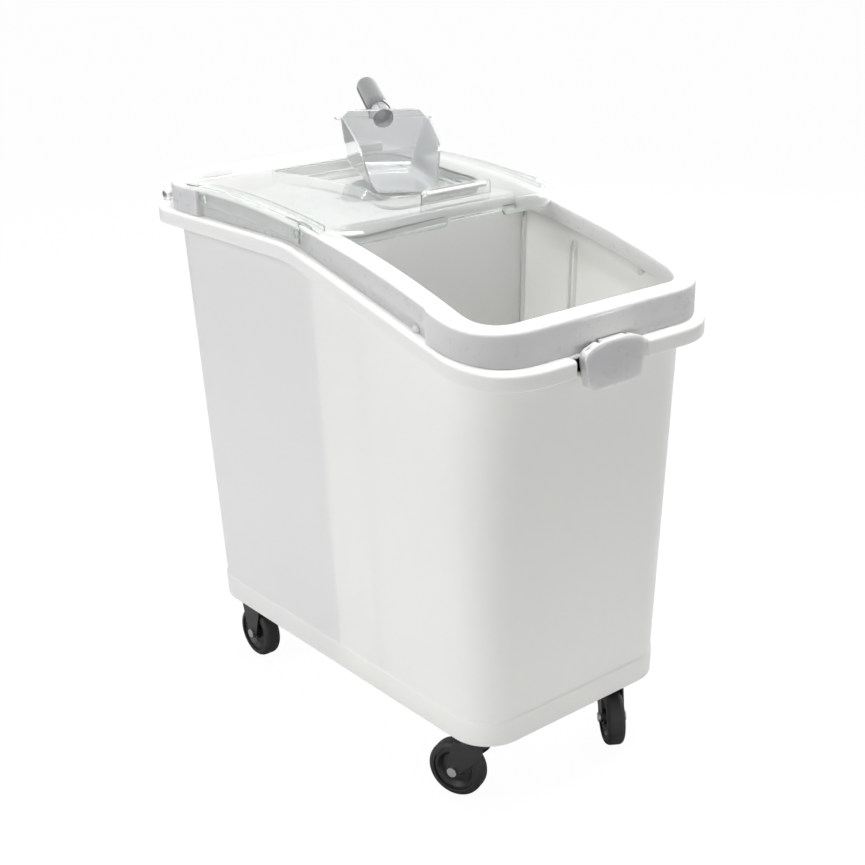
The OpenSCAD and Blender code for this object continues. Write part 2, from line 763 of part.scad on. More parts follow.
module scoop_bowl() color(clear) scoop_pose() difference() {
    union() {
        intersection() {
            scoop_section(0, scoop_hood);
            side_view(rounded([[0, 0], [-scoop_lean * scoop_top / scoop_height, scoop_top],
                [-scoop_lean - 14, scoop_height + 1], [nose_y, scoop_nose], [-scoop_length, 0]],
                [heel_r, 0, 12, 40, 0], 8), -90, 90);
            scoop_hood_zone();
        }
        // fold across the rear wall, with an ear at each end
        translate([-scoop_width / 2 - 7, -scoop_lean - 3, scoop_height - 2.4])
            cube([scoop_width + 14, 8, 2.4]);
        // socket that holds the handle
        on_handle() translate([0, 0, -socket_depth]) cylinder(r = handle_d / 2 - 1.5, h = socket_depth);
    }
    intersection() {
        scoop_section(scoop_wall, scoop_hood + 5);
        side_view(rounded([[-scoop_wall, scoop_wall], [-scoop_wall - scoop_lean * 1.4, scoop_height * 1.4],
            [-scoop_length - 60, scoop_height * 1.4], [-scoop_length - 60, scoop_wall]],
            [heel_r - scoop_wall, 0, 0, 0], 8), -90, 90);
    }
    on_handle() translate([0, 0, -spigot_length - 0.3]) cylinder(r = spigot_r + 0.05, h = spigot_length + 1);
}

module scoop_handle() color(grey) scoop_pose() on_handle() {
    r = handle_d / 2;
    intersection() {
        hull() {
            cylinder(r = r, h = 1, $fn = 32);
            translate([0, 0, handle_length - r]) sphere(r - 1, $fn = 32);
        }
        cylinder(r = 2 * r, h = 2 * handle_length);
    }
    translate([0, 0, -spigot_length]) cylinder(r = spigot_r, h = spigot_length + 1);
}

// ---- casters ----

// place and swivel angle of each caster: two swivel in front, two fixed behind
places = [[-caster_x, -front_caster_y, swivel_fl], [caster_x, -front_caster_y, swivel_fr],
    [-caster_x, rear_caster_y, 0], [caster_x, rear_caster_y, 0]];
offsets = [trail, trail, 0, 0];

module at_caster(i) translate([places[i][0], places[i][1], 0]) children();

module swivelled(i) at_caster(i) rotate([0, 0, places[i][2]]) children();

plate_x = 23;
plate_y = 31;
plate_r = 8;
bolt_x = 17;
bolt_y = 24;
bolt_r = 3;
bolt_gap = 0.2;

module bolt_places() for (x = [-1, 1], y = [-1, 1]) translate([x * bolt_x, y * bolt_y, 0]) children();

module mount_plate() translate([0, 0, plate_z]) linear_extrude(plate_thick) difference() {
    plate2(plate_x, -plate_y, plate_y, plate_r, plate_r);
    bolt_places() circle(bolt_r + bolt_gap);
}

module caster_plates() color(black) for (i = [0, 1]) at_caster(i) {
    mount_plate();
    translate([0, 0, race_split + gap]) cylinder(r = race_r + 1.5, h = plate_z - race_split - gap + 1);
    // king pin and its head
    translate([0, 0, crown_z - 3.4]) cylinder(r = king_r, h = race_split - crown_z + 5);
    translate([0, 0, crown_z - gap - 4]) cylinder(r = 9, h = 4);
}

module caster_bolts() color(steel) for (i = [0:3]) at_caster(i) bolt_places() {
    translate([0, 0, plate_z - 4]) cylinder(r = 5.5, h = 4, $fn = 6);
    translate([0, 0, plate_z - 6]) cylinder(r = bolt_r, h = floor_z + wall - plate_z + 7);
    translate([0, 0, floor_z + wall]) cylinder(r = 5, h = 2.5);
}

module swivel_fork() difference() {
    union() {
        // crown and lower race
        translate([0, 0, crown_z + 1]) cylinder(r = race_r, h = race_split - crown_z - 1);
        translate([-leg_in - leg_thick / 2, -15, crown_z])
            cube([2 * leg_in + leg_thick, trail + 12, crown_thick]);
        // legs
        for (s = [-1, 1]) side_view(rounded([[-16, crown_z + crown_thick - 0.5],
            [trail - 1, crown_z + crown_thick - 0.5], [trail + 10, wheel_r], [trail, wheel_r - 11],
            [trail - 11, wheel_r], [-10, crown_z - 16], [-16, crown_z - 4]], [0, 8, 6, 8, 6, 14, 4], 5),
            s > 0 ? leg_in : -leg_in - leg_thick, s > 0 ? leg_in + leg_thick : -leg_in);
    }
    translate([0, 0, crown_z - 1]) cylinder(r = king_r + 0.06, h = 60);
    translate([-40, trail, wheel_r]) rotate([0, 90, 0]) cylinder(r = axle_r + 0.05, h = 80);
}

module fixed_fork() difference() {
    union() {
        mount_plate();
        for (s = [-1, 1]) side_view(rounded([[-27, plate_z + 1], [27, plate_z + 1], [24, plate_z - 18],
            [11, wheel_r], [0, wheel_r - 11], [-11, wheel_r], [-24, plate_z - 18]],
            [0, 0, 10, 9, 10, 9, 10], 5),
            s > 0 ? leg_in : -leg_in - leg_thick, s > 0 ? leg_in + leg_thick : -leg_in);
    }
    translate([-40, 0, wheel_r]) rotate([0, 90, 0]) cylinder(r = axle_r + 0.05, h = 80);
    bolt_places() {
        translate([0, 0, plate_z - 7]) cylinder(r = 6.2, h = 7);
        translate([0, 0, plate_z - 1]) cylinder(r = bolt_r + bolt_gap, h = plate_thick + 2);
    }
}

module fork(i) color(black) swivelled(i) if (offsets[i] > 0) swivel_fork(); else fixed_fork();

module axle(i) color(steel) swivelled(i) translate([0, offsets[i], wheel_r]) rotate([0, 90, 0]) {
    h = leg_in + leg_thick;
    cylinder(r = axle_r, h = 2 * h + 1, center = true);
    for (s = [-1, 1]) translate([0, 0, s * (h + 0.3 + 1.5)]) cylinder(r = 6.5, h = 3, center = true);
}

module hub(i) color(black) swivelled(i) translate([0, offsets[i], wheel_r]) rotate([0, 90, 0])
    rotate_extrude() polygon([[axle_r + 0.08, -leg_in + 0.35], [10, -leg_in + 0.35], [11, -5], [20, -4],
        [hub_r - 4, -wheel_w / 2 + 2.5], [hub_r, -wheel_w / 2 + 2.5], [hub_r, wheel_w / 2 - 2.5],
        [hub_r - 4, wheel_w / 2 - 2.5], [20, 4], [11, 5], [10, leg_in - 0.35], [axle_r + 0.08, leg_in - 0.35]]);

module tyre(i) color(black) swivelled(i) translate([0, offsets[i], wheel_r]) rotate([0, 90, 0])
    rotate_extrude() polygon(rounded([[hub_r, -wheel_w / 2], [wheel_r, -wheel_w / 2],
        [wheel_r, wheel_w / 2], [hub_r, wheel_w / 2]], [1, 7, 7, 1], 5));

// ---- assembly ----

tub();
partition();
frame();
hinge_pins();
stop_blocks();
cover();
latch();
latch_pin();
scoop_bowl();
scoop_handle();
caster_plates();
caster_bolts();
fork(0);  // fork_fl
fork(1);  // fork_fr
fork(2);  // fork_rl
fork(3);  // fork_rr
axle(0);  // axle_fl
axle(1);  // axle_fr
axle(2);  // axle_rl
axle(3);  // axle_rr
hub(0);  // hub_fl
hub(1);  // hub_fr
hub(2);  // hub_rl
hub(3);  // hub_rr
tyre(0);  // tyre_fl
tyre(1);  // tyre_fr
tyre(2);  // tyre_rl
tyre(3);  // tyre_rr
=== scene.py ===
"""Slant-top mobile rice bin with a sliding clear cover and a hand scoop."""

import logging
import math
from dataclasses import dataclass, field
from enum import Enum
from typing import Any

import bmesh
import bpy
import numpy as np
from mathutils import Matrix, Vector


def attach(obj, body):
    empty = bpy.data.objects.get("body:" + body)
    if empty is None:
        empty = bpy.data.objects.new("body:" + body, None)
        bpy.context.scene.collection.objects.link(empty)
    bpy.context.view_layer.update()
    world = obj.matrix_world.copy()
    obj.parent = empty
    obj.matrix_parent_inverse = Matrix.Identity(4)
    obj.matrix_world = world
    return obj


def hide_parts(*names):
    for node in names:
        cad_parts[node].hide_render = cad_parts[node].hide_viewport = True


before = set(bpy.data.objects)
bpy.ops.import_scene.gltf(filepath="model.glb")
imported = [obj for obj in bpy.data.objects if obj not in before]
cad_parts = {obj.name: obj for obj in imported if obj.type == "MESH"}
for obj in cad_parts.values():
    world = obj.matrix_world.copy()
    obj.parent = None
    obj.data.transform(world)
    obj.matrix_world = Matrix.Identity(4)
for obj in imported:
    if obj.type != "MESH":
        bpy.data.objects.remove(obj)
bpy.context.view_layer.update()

LOG = logging.getLogger("rice_bin")
MM = 0.001
Array = np.ndarray
Surface = tuple[Array, list[Any]]


# ---------------------------------------------------------------- sizes


@dataclass(frozen=True)
class Track:
    """Curved lines that the rim, the flange and the cover follow, in millimetres."""

    rear: float = 730.0
    front: float = 647.0
    radius: float = 1512.0
    crest: float = 181.0
    blend: float = 150.0
    seat_rear: float = 692.0
    seat_front: float = 603.0
    lip: float = 21.0
    fall_start: float = 10.0
    fall_end: float = -338.0

    def rim(self, y: Array) -> Array:
        """Height of the rim: level, then an arc, then a blend to the level front.

        Args:
            y: lengthways places.

        Returns:
            The heights there.
        """
        centre = self.rear - self.radius
        lean = math.acos((self.front + self.blend - centre) / (self.radius + self.blend))
        blend_y = self.crest - (self.radius + self.blend) * math.sin(lean)
        split = blend_y + self.blend * math.sin(lean)
        arc = centre + np.sqrt(self.radius**2 - np.clip(self.crest - y, 0, 600) ** 2)
        run = np.clip(y - blend_y, 0, self.blend)
        soft = self.front + self.blend - np.sqrt(self.blend**2 - run**2)
        return np.where(y > split, arc, soft)

    def arc(self, y: Array, lift: float) -> Array:
        """Height of the circle that lies `lift` above the track."""
        r = self.radius + lift
        return self.rear - self.radius + np.sqrt(r * r - (self.crest - y) ** 2)

    def seat(self, y: Array) -> Array:
        """Height of the seam between flange and frame: two levels joined by a soft ramp.

        Args:
            y: lengthways places.

        Returns:
            The heights there.
        """
        slope = (self.seat_rear - self.seat_front) / (self.fall_start - self.fall_end)
        top = soft_min(self.seat_rear - 0 * y, self.seat_front + slope * (y - self.fall_end), 3.0)
        return -soft_min(-top, -self.seat_front + 0 * y, 3.0)


@dataclass(frozen=True)
class Fittings:
    """Places that the tub, the top frame and the latch share, in millimetres."""

    hinge_x: float = 150.0
    hinge_y: float = 347.0
    hinge_z: float = 701.0
    latch_x: float = -6.0
    latch_y: float = -358.0
    latch_z: float = 609.5


@dataclass(frozen=True)
class CoverTop:
    """The cover's crowned top surface, in millimetres."""

    crown: float = 736.5
    crest: float = 140.0
    radius: float = 1600.0

    def z(self, y: Array) -> Array:
        """Height of the circle that the top follows."""
        return self.crown - self.radius + np.sqrt(self.radius**2 - (y - self.crest) ** 2)


def soft_min(a: Array, b: Array, width: float) -> Array:
    """Smaller of two values, with a rounded change-over.

    Args:
        a: first values.
        b: second values.
        width: size of the rounding.

    Returns:
        The rounded minimum.
    """
    return 0.5 * (a + b - np.sqrt((a - b) ** 2 + width**2))


def smooth(x: Array, lo: float, hi: float) -> Array:
    """Smooth step: 0 below lo, 1 above hi, a cubic between."""
    t = np.clip((x - lo) / (hi - lo), 0, 1)
    return t * t * (3 - 2 * t)


# ---------------------------------------------------------------- surfaces


@dataclass(frozen=True)
class Plan:
    """A rounded rectangle seen from above, sampled the same way for every size.

    The path runs counter-clockwise from the front end of the right side.
    """

    hx: float
    y0: float
    y1: float
    rf: float
    rb: float

    def grown(self, d: float) -> "Plan":
        """The same plan with every side moved outwards by d."""
        return Plan(self.hx + d, self.y0 - d, self.y1 + d, max(0.4, self.rf + d), max(0.4, self.rb + d))

    def path(self, sides: Array, ends: Array, turns: int = 14) -> Array:
        """Points on the outline.

        Args:
            sides: places along a straight side, 0 at the front and 1 at the rear.
            ends: places along a straight end, 0 at the left and 1 at the right.
            turns: steps in each corner.

        Returns:
            An array of points, one row each.
        """
        a = np.linspace(0, math.pi / 2, turns + 1)[1:-1]
        ya, yb = self.y0 + self.rf, self.y1 - self.rb
        side_y = ya + (yb - ya) * sides
        fx, bx = self.hx - self.rf, self.hx - self.rb
        parts = [
            np.stack([np.full_like(side_y, self.hx), side_y], 1),
            np.stack([bx + self.rb * np.cos(a), yb + self.rb * np.sin(a)], 1),
            np.stack([bx * (1 - 2 * ends), np.full_like(ends, self.y1)], 1),
            np.stack([-bx - self.rb * np.sin(a), yb + self.rb * np.cos(a)], 1),
            np.stack([np.full_like(side_y, -self.hx), side_y[::-1]], 1),
            np.stack([-fx - self.rf * np.cos(a), ya - self.rf * np.sin(a)], 1),
            np.stack([fx * (2 * ends - 1), np.full_like(ends, self.y0)], 1),
            np.stack([fx + self.rf * np.sin(a), ya - self.rf * np.cos(a)], 1),
        ]
        return np.concatenate(parts)


def normals(path: Array) -> Array:
    """Outward unit normals of a counter-clockwise closed path."""
    step = np.roll(path, -1, 0) - np.roll(path, 1, 0)
    out = np.stack([step[:, 1], -step[:, 0]], 1)
    return out / np.linalg.norm(out, axis=1, keepdims=True)


def arc_steps(n: int) -> Array:
    """n + 1 angles from 0 to a quarter turn."""
    return np.linspace(0, math.pi / 2, n + 1)


def lifted(path: Array, z: Array | float) -> Array:
    """Turns a flat path and its heights into 3-D points."""
    return np.column_stack([path, np.broadcast_to(z, len(path))])


def make_object(name: str, verts: Array, faces: list[Any], body: str) -> bpy.types.Object:
    """Makes a mesh object in metres, welds its seams and lets it ride on a body.

    Args:
        name: the piece's name.
        verts: points in millimetres.
        faces: lists of vertex numbers.
        body: the body that carries the piece.

    Returns:
        The new object.
    """
    mesh = bpy.data.meshes.new(name)
    mesh.from_pydata((verts * MM).tolist(), [], faces)
    mesh.validate()
    obj = bpy.data.objects.new(name, mesh)
    bpy.context.scene.collection.objects.link(obj)
    finish_mesh(obj)
    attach(obj, body)
    return obj


def finish_mesh(obj: bpy.types.Object, angle: float = 38.0) -> None:
    """Merges doubles, points faces outwards and shades the mesh smooth up to an angle."""
    bm = bmesh.new()
    bm.from_mesh(obj.data)
    bmesh.ops.remove_doubles(bm, verts=bm.verts, dist=2e-6)
    bmesh.ops.dissolve_degenerate(bm, edges=bm.edges, dist=1e-7)
    bmesh.ops.recalc_face_normals(bm, faces=bm.faces)
    bm.to_mesh(obj.data)
    bm.free()
    obj.data.shade_smooth()
    obj.data.set_sharp_from_angle(angle=math.radians(angle))


def loft(rings: list[Array], closed: bool = False, caps: tuple[bool, bool] = (False, False)) -> Surface:
    """Joins rings of points into a surface.

    Args:
        rings: closed loops with the same number of points.
        closed: True joins the last ring to the first.
        caps: whether the first and the last ring are filled.

    Returns:
        Points and faces.
    """
    verts = np.concatenate(rings)
    n, m = len(rings[0]), len(rings)
    rows = np.arange(m if closed else m - 1)
    i, j = np.meshgrid(rows, np.arange(n), indexing="ij")
    i2, j2 = (i + 1) % m, (j + 1) % n
    quads = np.stack([i * n + j, i * n + j2, i2 * n + j2, i2 * n + j], -1).reshape(-1, 4)
    faces: list[Any] = quads.tolist()
    if caps[0]:
        faces.append(list(range(n))[::-1])
    if caps[1]:
        faces.append(list(range((m - 1) * n, m * n)))
    return verts, faces


def tube(profile: Array, centre: Array, axis: Array, steps: int = 48) -> Surface:
    """Turns a profile round an axis: radius against distance along the axis.

    Args:
        profile: rows of (radius, distance).
        centre: a point on the axis.
        axis: its direction.
        steps: points round the axis.

    Returns:
        Points and faces, closed at both ends.
    """
    axis = np.asarray(axis, float) / np.linalg.norm(axis)
    side = np.cross(axis, [0.0, 0.0, 1.0] if abs(axis[2]) < 0.9 else [1.0, 0.0, 0.0])
    side /= np.linalg.norm(side)
    other = np.cross(axis, side)
    a = np.linspace(0, 2 * math.pi, steps, endpoint=False)
    around = np.outer(np.cos(a), side) + np.outer(np.sin(a), other)
    rings = [np.asarray(centre) + r * around + h * axis for r, h in profile]
    return loft(rings, caps=(True, True))


def pin_profile(r: float, length: float, edge: float) -> Array:
    """Profile of a straight pin with rounded ends."""
    a = arc_steps(4)
    low = np.stack([r - edge + edge * np.sin(a), edge - edge * np.cos(a)], 1)
    high = np.stack([r - edge + edge * np.cos(a), length - edge + edge * np.sin(a)], 1)
    return np.concatenate([low, high])


def slab(plan: Plan, z0: float, z1: float, edge: float, sides: Array, ends: Array) -> Surface:
    """A flat plate with rounded edges.

    Args:
        plan: its outline.
        z0: lower face.
        z1: upper face.
        edge: edge radius.
        sides: sampling of the long sides.
        ends: sampling of the ends.

    Returns:
        Points and faces.
    """

    def ring(grow: float, z: float) -> Array:
        """The outline at one height, grown by a share of the edge radius."""
        return lifted(plan.grown(edge * grow).path(sides, ends, 8), z)

    a = arc_steps(4)
    rings = [ring(math.sin(t) - 1, z0 + edge * (1 - math.cos(t))) for t in a]
    rings += [ring(math.cos(t) - 1, z1 - edge * (1 - math.sin(t))) for t in a]
    return loft(rings, caps=(True, True))


# ---------------------------------------------------------------- finishes


def linear(hex_code: str) -> tuple[float, float, float, float]:
    """Turns an sRGB hex colour into linear values.

    Args:
        hex_code: such as "F2F2EE".

    Returns:
        Red, green, blue and 1.
    """
    c = np.array([int(hex_code[i : i + 2], 16) / 255 for i in (0, 2, 4)])
    lin = np.where(c <= 0.04045, c / 12.92, ((c + 0.055) / 1.055) ** 2.4)
    return (*lin.tolist(), 1.0)


def add_node(tree: bpy.types.NodeTree, kind: str, values: dict[str, Any] | None = None,
             links: dict[str, Any] | None = None, **settings: Any) -> bpy.types.Node:
    """Adds one shader node.

    Args:
        tree: the node tree.
        kind: the node's type.
        values: socket values by socket name.
        links: output sockets to plug in, by input name.
        settings: node properties.

    Returns:
        The node.
    """
    node = tree.nodes.new(kind)
    for key, value in settings.items():
        setattr(node, key, value)
    for key, value in (values or {}).items():
        node.inputs[key].default_value = value
    for key, value in (links or {}).items():
        tree.links.new(value, node.inputs[key])
    return node


class Texture(Enum):
    """Surface left by how a piece was made."""

    SMOOTH = "smooth"
    SATIN = "satin"
    GRAINED = "grained"


@dataclass(frozen=True)
class Plastic:
    """A moulded plastic.

    Attributes:
        name: material name.
        colour: sRGB hex.
        roughness: surface roughness.
        texture: the mould's surface.
        grain_mm: size of the texture.
        coat: share of clear gloss on top.
        see_through: share of light passing straight on.
        ior: index of refraction.
        scatter: subsurface share, for cloudy plastics.
        depth_mm: how far light wanders inside the plastic.
        metal: 1 for bare metal.
    """

    name: str
    colour: str
    roughness: float
    texture: Texture = Texture.SATIN
    grain_mm: float = 1.5
    coat: float = 0.0
    see_through: float = 0.0
    ior: float = 1.5
    scatter: float = 0.0
    depth_mm: float = 6.0
    metal: float = 0.0

    def build(self) -> bpy.types.Material:
        """Makes the material: a principled shader with noise in its roughness and a slight bump."""
        mat = bpy.data.materials.new(self.name)
        mat.use_nodes = True
        tree = mat.node_tree
        tree.nodes.clear()
        place = add_node(tree, "ShaderNodeTexCoord")
        noise = add_node(tree, "ShaderNodeTexNoise", {"Scale": 1 / (self.grain_mm * MM), "Detail": 3.0},
                         {"Vector": place.outputs["Object"]})
        spread = 0.04 if self.texture is Texture.SMOOTH else 0.08
        rough = add_node(tree, "ShaderNodeMapRange", {
            "From Min": 0.3, "From Max": 0.7,
            "To Min": max(0.0, self.roughness - spread / 2), "To Max": self.roughness + spread / 2,
        }, {"Value": noise.outputs["Fac"]})
        shader = add_node(tree, "ShaderNodeBsdfPrincipled", {
            "Base Color": linear(self.colour), "IOR": self.ior, "Coat Weight": self.coat,
            "Coat Roughness": 0.08, "Transmission Weight": self.see_through, "Metallic": self.metal,
            "Subsurface Weight": self.scatter, "Subsurface Scale": self.depth_mm * MM,
            "Subsurface Radius": (1.0, 0.98, 0.93),
        }, {"Roughness": rough.outputs["Result"]})
        if self.texture is not Texture.SMOOTH:
            bump = add_node(tree, "ShaderNodeBump", {
                "Strength": 0.03 if self.texture is Texture.SATIN else 0.2, "Distance": 0.0002,
            }, {"Height": noise.outputs["Fac"]})
            tree.links.new(bump.outputs["Normal"], shader.inputs["Normal"])
        out = add_node(tree, "ShaderNodeOutputMaterial")
        tree.links.new(shader.outputs["BSDF"], out.inputs["Surface"])
        mat.diffuse_color = linear(self.colour)
        return mat


# white moulded polyethylene: light wanders a little way in, so it looks soft and slightly waxy
WHITE_TUB = Plastic(
    "white_moulded_polyethylene", "F6F6F3", 0.34, Texture.SATIN, 9.0, scatter=1.0, depth_mm=6.0
)
# the same plastic with the finer mould polish of the top frame
WHITE_FRAME = Plastic(
    "white_polished_polyethylene", "F7F7F4", 0.3, Texture.SATIN, 9.0, scatter=1.0, depth_mm=12.0
)
# clear injection-moulded polycarbonate: hard and glossy, with a faint grey tint that is painted shade,
# darkening the cover
CLEAR_COVER = Plastic(
    "clear_moulded_polycarbonate", "F3F5F3", 0.04, Texture.SMOOTH, 30.0, 0.4, 0.93, 1.32
)
# glossy white bar inside the pull: its opaque white is a painted highlight along the pull's thick top edge
WHITE_HIGHLIGHT_GLOSS = Plastic("white_painted_highlight_polycarbonate", "F6F7F6", 0.12, Texture.SMOOTH, 8.0, 0.5)
# clear polycarbonate of the scoop: glossy, with a grey tint that is painted shade, greying its walls the way
# they look in shade
CLEAR_SCOOP = Plastic(
    "clear_polycarbonate_shade_tint", "E6E8E8", 0.07, Texture.SMOOTH, 30.0, 0.8, 0.72, 1.3
)
# smoke-grey polycarbonate of the handle: a glossy bar that lets some light through
GREY_HANDLE = Plastic(
    "smoke_grey_polycarbonate", "6E7070", 0.16, Texture.SMOOTH, 8.0, 0.8, 0.35, 1.45
)
# natural polypropylene of the stop blocks: cloudy, with light inside it
CLOUDY = Plastic(
    "natural_polypropylene", "FAFAF9", 0.22, Texture.SATIN, 4.0, 0.3, scatter=0.7, depth_mm=8.0
)
# white sheet of the divider: a whiter copy of the tub's plastic with less scatter, set so that the divider's
# face, which lies in shade, looks lighter: painted light
WHITE_SHEET = Plastic(
    "white_sheet_painted_light", "FBFBF9", 0.4, Texture.SATIN, 9.0, scatter=0.45, depth_mm=10.0
)
# black nylon wheel centres: fine mould grain, dull sheen
BLACK_HUB = Plastic("black_moulded_nylon", "1B1B1C", 0.38, Texture.GRAINED, 1.0)
# black rubber treads: the dullest black
BLACK_TREAD = Plastic("black_moulded_rubber", "161617", 0.55, Texture.GRAINED, 1.2)
# black powder-coated pressed steel forks: fine orange-peel grain
BLACK_STEEL = Plastic("black_powder_coated_steel", "1E1E20", 0.42, Texture.GRAINED, 1.0)
# zinc-plated steel of bolts, axles and pins: pale grey metal with a soft shine
ZINC = Plastic("zinc_plated_steel", "B4B6B8", 0.3, Texture.SMOOTH, 3.0, metal=1.0)

# materials made so far, by name
_made: dict[str, bpy.types.Material] = {}


def dress(obj: bpy.types.Object, finish: Plastic) -> bpy.types.Object:
    """Gives an object one finish, making the material the first time.

    Args:
        obj: the piece.
        finish: its finish.

    Returns:
        The same object.
    """
    if finish.name not in _made:
        _made[finish.name] = finish.build()
    obj.data.materials.clear()
    obj.data.materials.append(_made[finish.name])
    return obj


# ---------------------------------------------------------------- tub


@dataclass
class Tub:
    """Tapered tub: foot band, walls, rolled flange with the latch's gate, and upstand."""

    track: Track = field(default_factory=Track)
    foot: Plan = Plan(159.5, -304.5, 304.5, 50, 50)
    mouth: Plan = Plan(180.7, -341, 341, 80, 80)
    flange: Plan = Plan(197, -365, 365, 88, 70)
    base: float = 108.0
    floor: float = 110.0
    wall: float = 3.5
    lip_wall: float = 3.4
    band: float = 35.0
    band_step: float = 2.2
    flange_edge: float = 4.5
    stand: Plan = Plan(181.4, -340.4, 331.3, 78, 78)
    stand_wall: float = 3.2
    stand_edge: float = 1.2
    upstand: float = 11.0
    gate: tuple[float, float] = (-68.0, 47.0)
    gate_y: float = -352.0
    slots: tuple[float, float] = (-12.5, -111.0)
    rib: float = 6.0
    floor_round: float = 12.0
    lug_gap: float = 14.3
    fittings: Fittings = Fittings()

    def build(self) -> list[bpy.types.Object]:
        """Makes the shell."""
        slot = np.array(self.slots)
        sides = np.linspace(0, 1, 46)
        marks = (slot[:, None] + np.array([-6.6, -6.3, -2.7, -2.4, 2.4, 2.7, 6.3, 6.6])).ravel()
        ya, yb = self.mouth.y0 + self.mouth.rf, self.mouth.y1 - self.mouth.rb
        sides = np.unique(np.concatenate([sides, (marks - ya) / (yb - ya)]))
        fx = self.flange.hx - self.flange.rf
        left, right = self.gate
        gate_marks = 0.5 + np.array([left - 0.6, left, right, right + 0.6]) / (2 * fx)
        ends = np.unique(np.concatenate([np.linspace(0, 1, 16), gate_marks]))
        foot, mouth = self.foot.path(sides, ends), self.mouth.path(sides, ends)
        n = normals(mouth)
        seat = self.track.seat
        under = seat(mouth[:, 1]) - self.lip_wall
        height = self.track.seat_rear - self.base

        def wall_at(z: Array, off: Array | float) -> Array:
            """Ring between foot and mouth outlines at heights z, moved outwards by off."""
            s = (z - self.base) / height
            return lifted(foot + (mouth - foot) * s[:, None] + n * np.reshape(off, (-1, 1)), z)

        def gated(path: Array) -> Array:
            """The path with its front pushed in where the latch passes."""
            inside = (path[:, 0] > left - 0.3) & (path[:, 0] < right + 0.3) & (path[:, 1] < 0)
            y = np.where(inside, np.maximum(path[:, 1], self.gate_y), path[:, 1])
            return np.column_stack([path[:, 0], y])

        def flat(z: float, off: float) -> Array:
            """Level ring of the wall."""
            return wall_at(np.full(len(foot), z), off)

        step, base, top = self.band_step, self.base, self.base + self.band
        rings = [flat(self.floor, -4.0), flat(self.floor, -3.0)]
        rings += [flat(base + 1.2 * (1 - math.sin(t)), -1.8 - 1.2 * math.cos(t)) for t in arc_steps(3)]
        rings += [flat(base + 1.6 * (1 - math.cos(t)), step - 1.8 + 1.6 * math.sin(t)) for t in arc_steps(4)]
        edge = step - 0.2
        rings += [flat(top - 3 + 2.4 * math.sin(t), edge - 1.4 * (1 - math.cos(t))) for t in arc_steps(4)]
        rings += [flat(top + 1.2 * (1 - math.cos(t)), 0.5 - 0.5 * math.sin(t)) for t in arc_steps(2)]
        for t in np.linspace(0.04, 1, 8):
            rings.append(wall_at(top + 2 + (under - 5 - top - 2) * t, 0.0))
        for t in arc_steps(5)[1:]:
            rings.append(wall_at(under - 5 + 5 * math.sin(t), 5 * (1 - math.cos(t))))

        def lip(off: float, dz: float) -> Array:
            """Ring of the flange, off outwards and dz above the seam."""
            path = gated(self.flange.grown(off).path(sides, ends))
            return lifted(path, seat(path[:, 1]) + dz)

        w, e = self.lip_wall, self.flange_edge
        r, drop = w / 2, w / 2 - self.track.lip
        rings += [lip(-w - 2, -w), lip(-w - 0.6, -w - 0.6), lip(-w, -w - 2), lip(-w, drop)]
        rings += [lip(-r - r * math.cos(t), drop - r * math.sin(t)) for t in arc_steps(4)[1:]]
        rings += [lip(-r + r * math.sin(t), drop - r * math.cos(t)) for t in arc_steps(4)[1:]]
        rings += [lip(0, -6.5), lip(0, -5.0)]
        rings += [lip(-e + e * math.cos(t), -e + e * math.sin(t)) for t in arc_steps(7)[1:]]

        def post(off: float, dz: float) -> Array:
            """Ring of the upstand, off outwards and dz above the seam."""
            path = self.stand.grown(off).path(sides, ends)
            return lifted(path, seat(path[:, 1]) + dz)

        r = self.stand_edge
        up, thick = self.upstand - r, self.stand_wall - r
        rings += [post(0.6, 0.0), post(0, 0.6), post(0, up)]
        rings += [post(-r + r * math.cos(t), up + r * math.sin(t)) for t in arc_steps(3)[1:]]
        rings += [post(-thick - r * math.sin(t), up + r * math.cos(t)) for t in arc_steps(3)[1:]]
        inner, r = self.wall, self.floor_round
        ribs = self._ribs(mouth[:, 1], slot) * (np.abs(mouth[:, 0]) > self.mouth.hx - 1)
        top_in = seat(mouth[:, 1]) - 6
        rings += [wall_at(top_in + 4, -inner), wall_at(top_in, -inner)]
        for t in np.linspace(0.02, 1, 8):
            rings.append(wall_at(top_in - 1 - (top_in - 1 - self.floor - inner - r) * t, -inner - ribs))
        for t in arc_steps(5)[1:]:
            rings.append(flat(self.floor + inner + r * (1 - math.sin(t)), -inner - r * (1 - math.cos(t))))
        verts, faces = loft(rings, caps=(True, True))
        shell = make_object("tub_shell", verts, faces, "base")
        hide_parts("tub")
        return [dress(o, WHITE_TUB) for o in [shell, *self.lugs()]]

    def lugs(self) -> list[bpy.types.Object]:
        """Makes the hinge lugs on the rear flange and the shelf that the latch hooks under."""
        at, two, out = self.fittings, np.linspace(0, 1, 2), []
        for x in (-1, 1):
            for t in (-1, 1):
                cx = x * at.hinge_x + t * self.lug_gap
                tag = f"{'rl'[x < 0]}_{'ab'[t < 0]}"
                start = np.array([cx - 3.0, at.hinge_y, at.hinge_z])
                lug = tube(pin_profile(6, 6, 0.8), start, np.array([1.0, 0, 0]))
                out.append(make_object(f"hinge_lug_{tag}", *lug, "base"))
                under = Plan(3, at.hinge_y - 6, at.hinge_y + 6, 0.8, 0.8)
                block = slab(under, self.track.seat_rear - 0.5, at.hinge_z, 0.6, two, two)
                block[0][:, 0] += cx
                out.append(make_object(f"lug_foot_{tag}", *block, "base"))
        shelf = slab(Plan(34, -348, -328, 1, 1), 571, 575, 0.8, two, two)
        shelf[0][:, 0] += at.latch_x
        out.append(make_object("latch_shelf", *shelf, "base"))
        return out

    def _ribs(self, y: Array, slot: Array) -> Array:
        """How far the divider's ribs stand in from the wall: two ridges beside each slot."""
        near = np.min(np.abs(y[:, None] - slot[None, :]), 1)
        return self.rib * ((near > 2.45) & (near < 6.55))


# ---------------------------------------------------------------- top frame


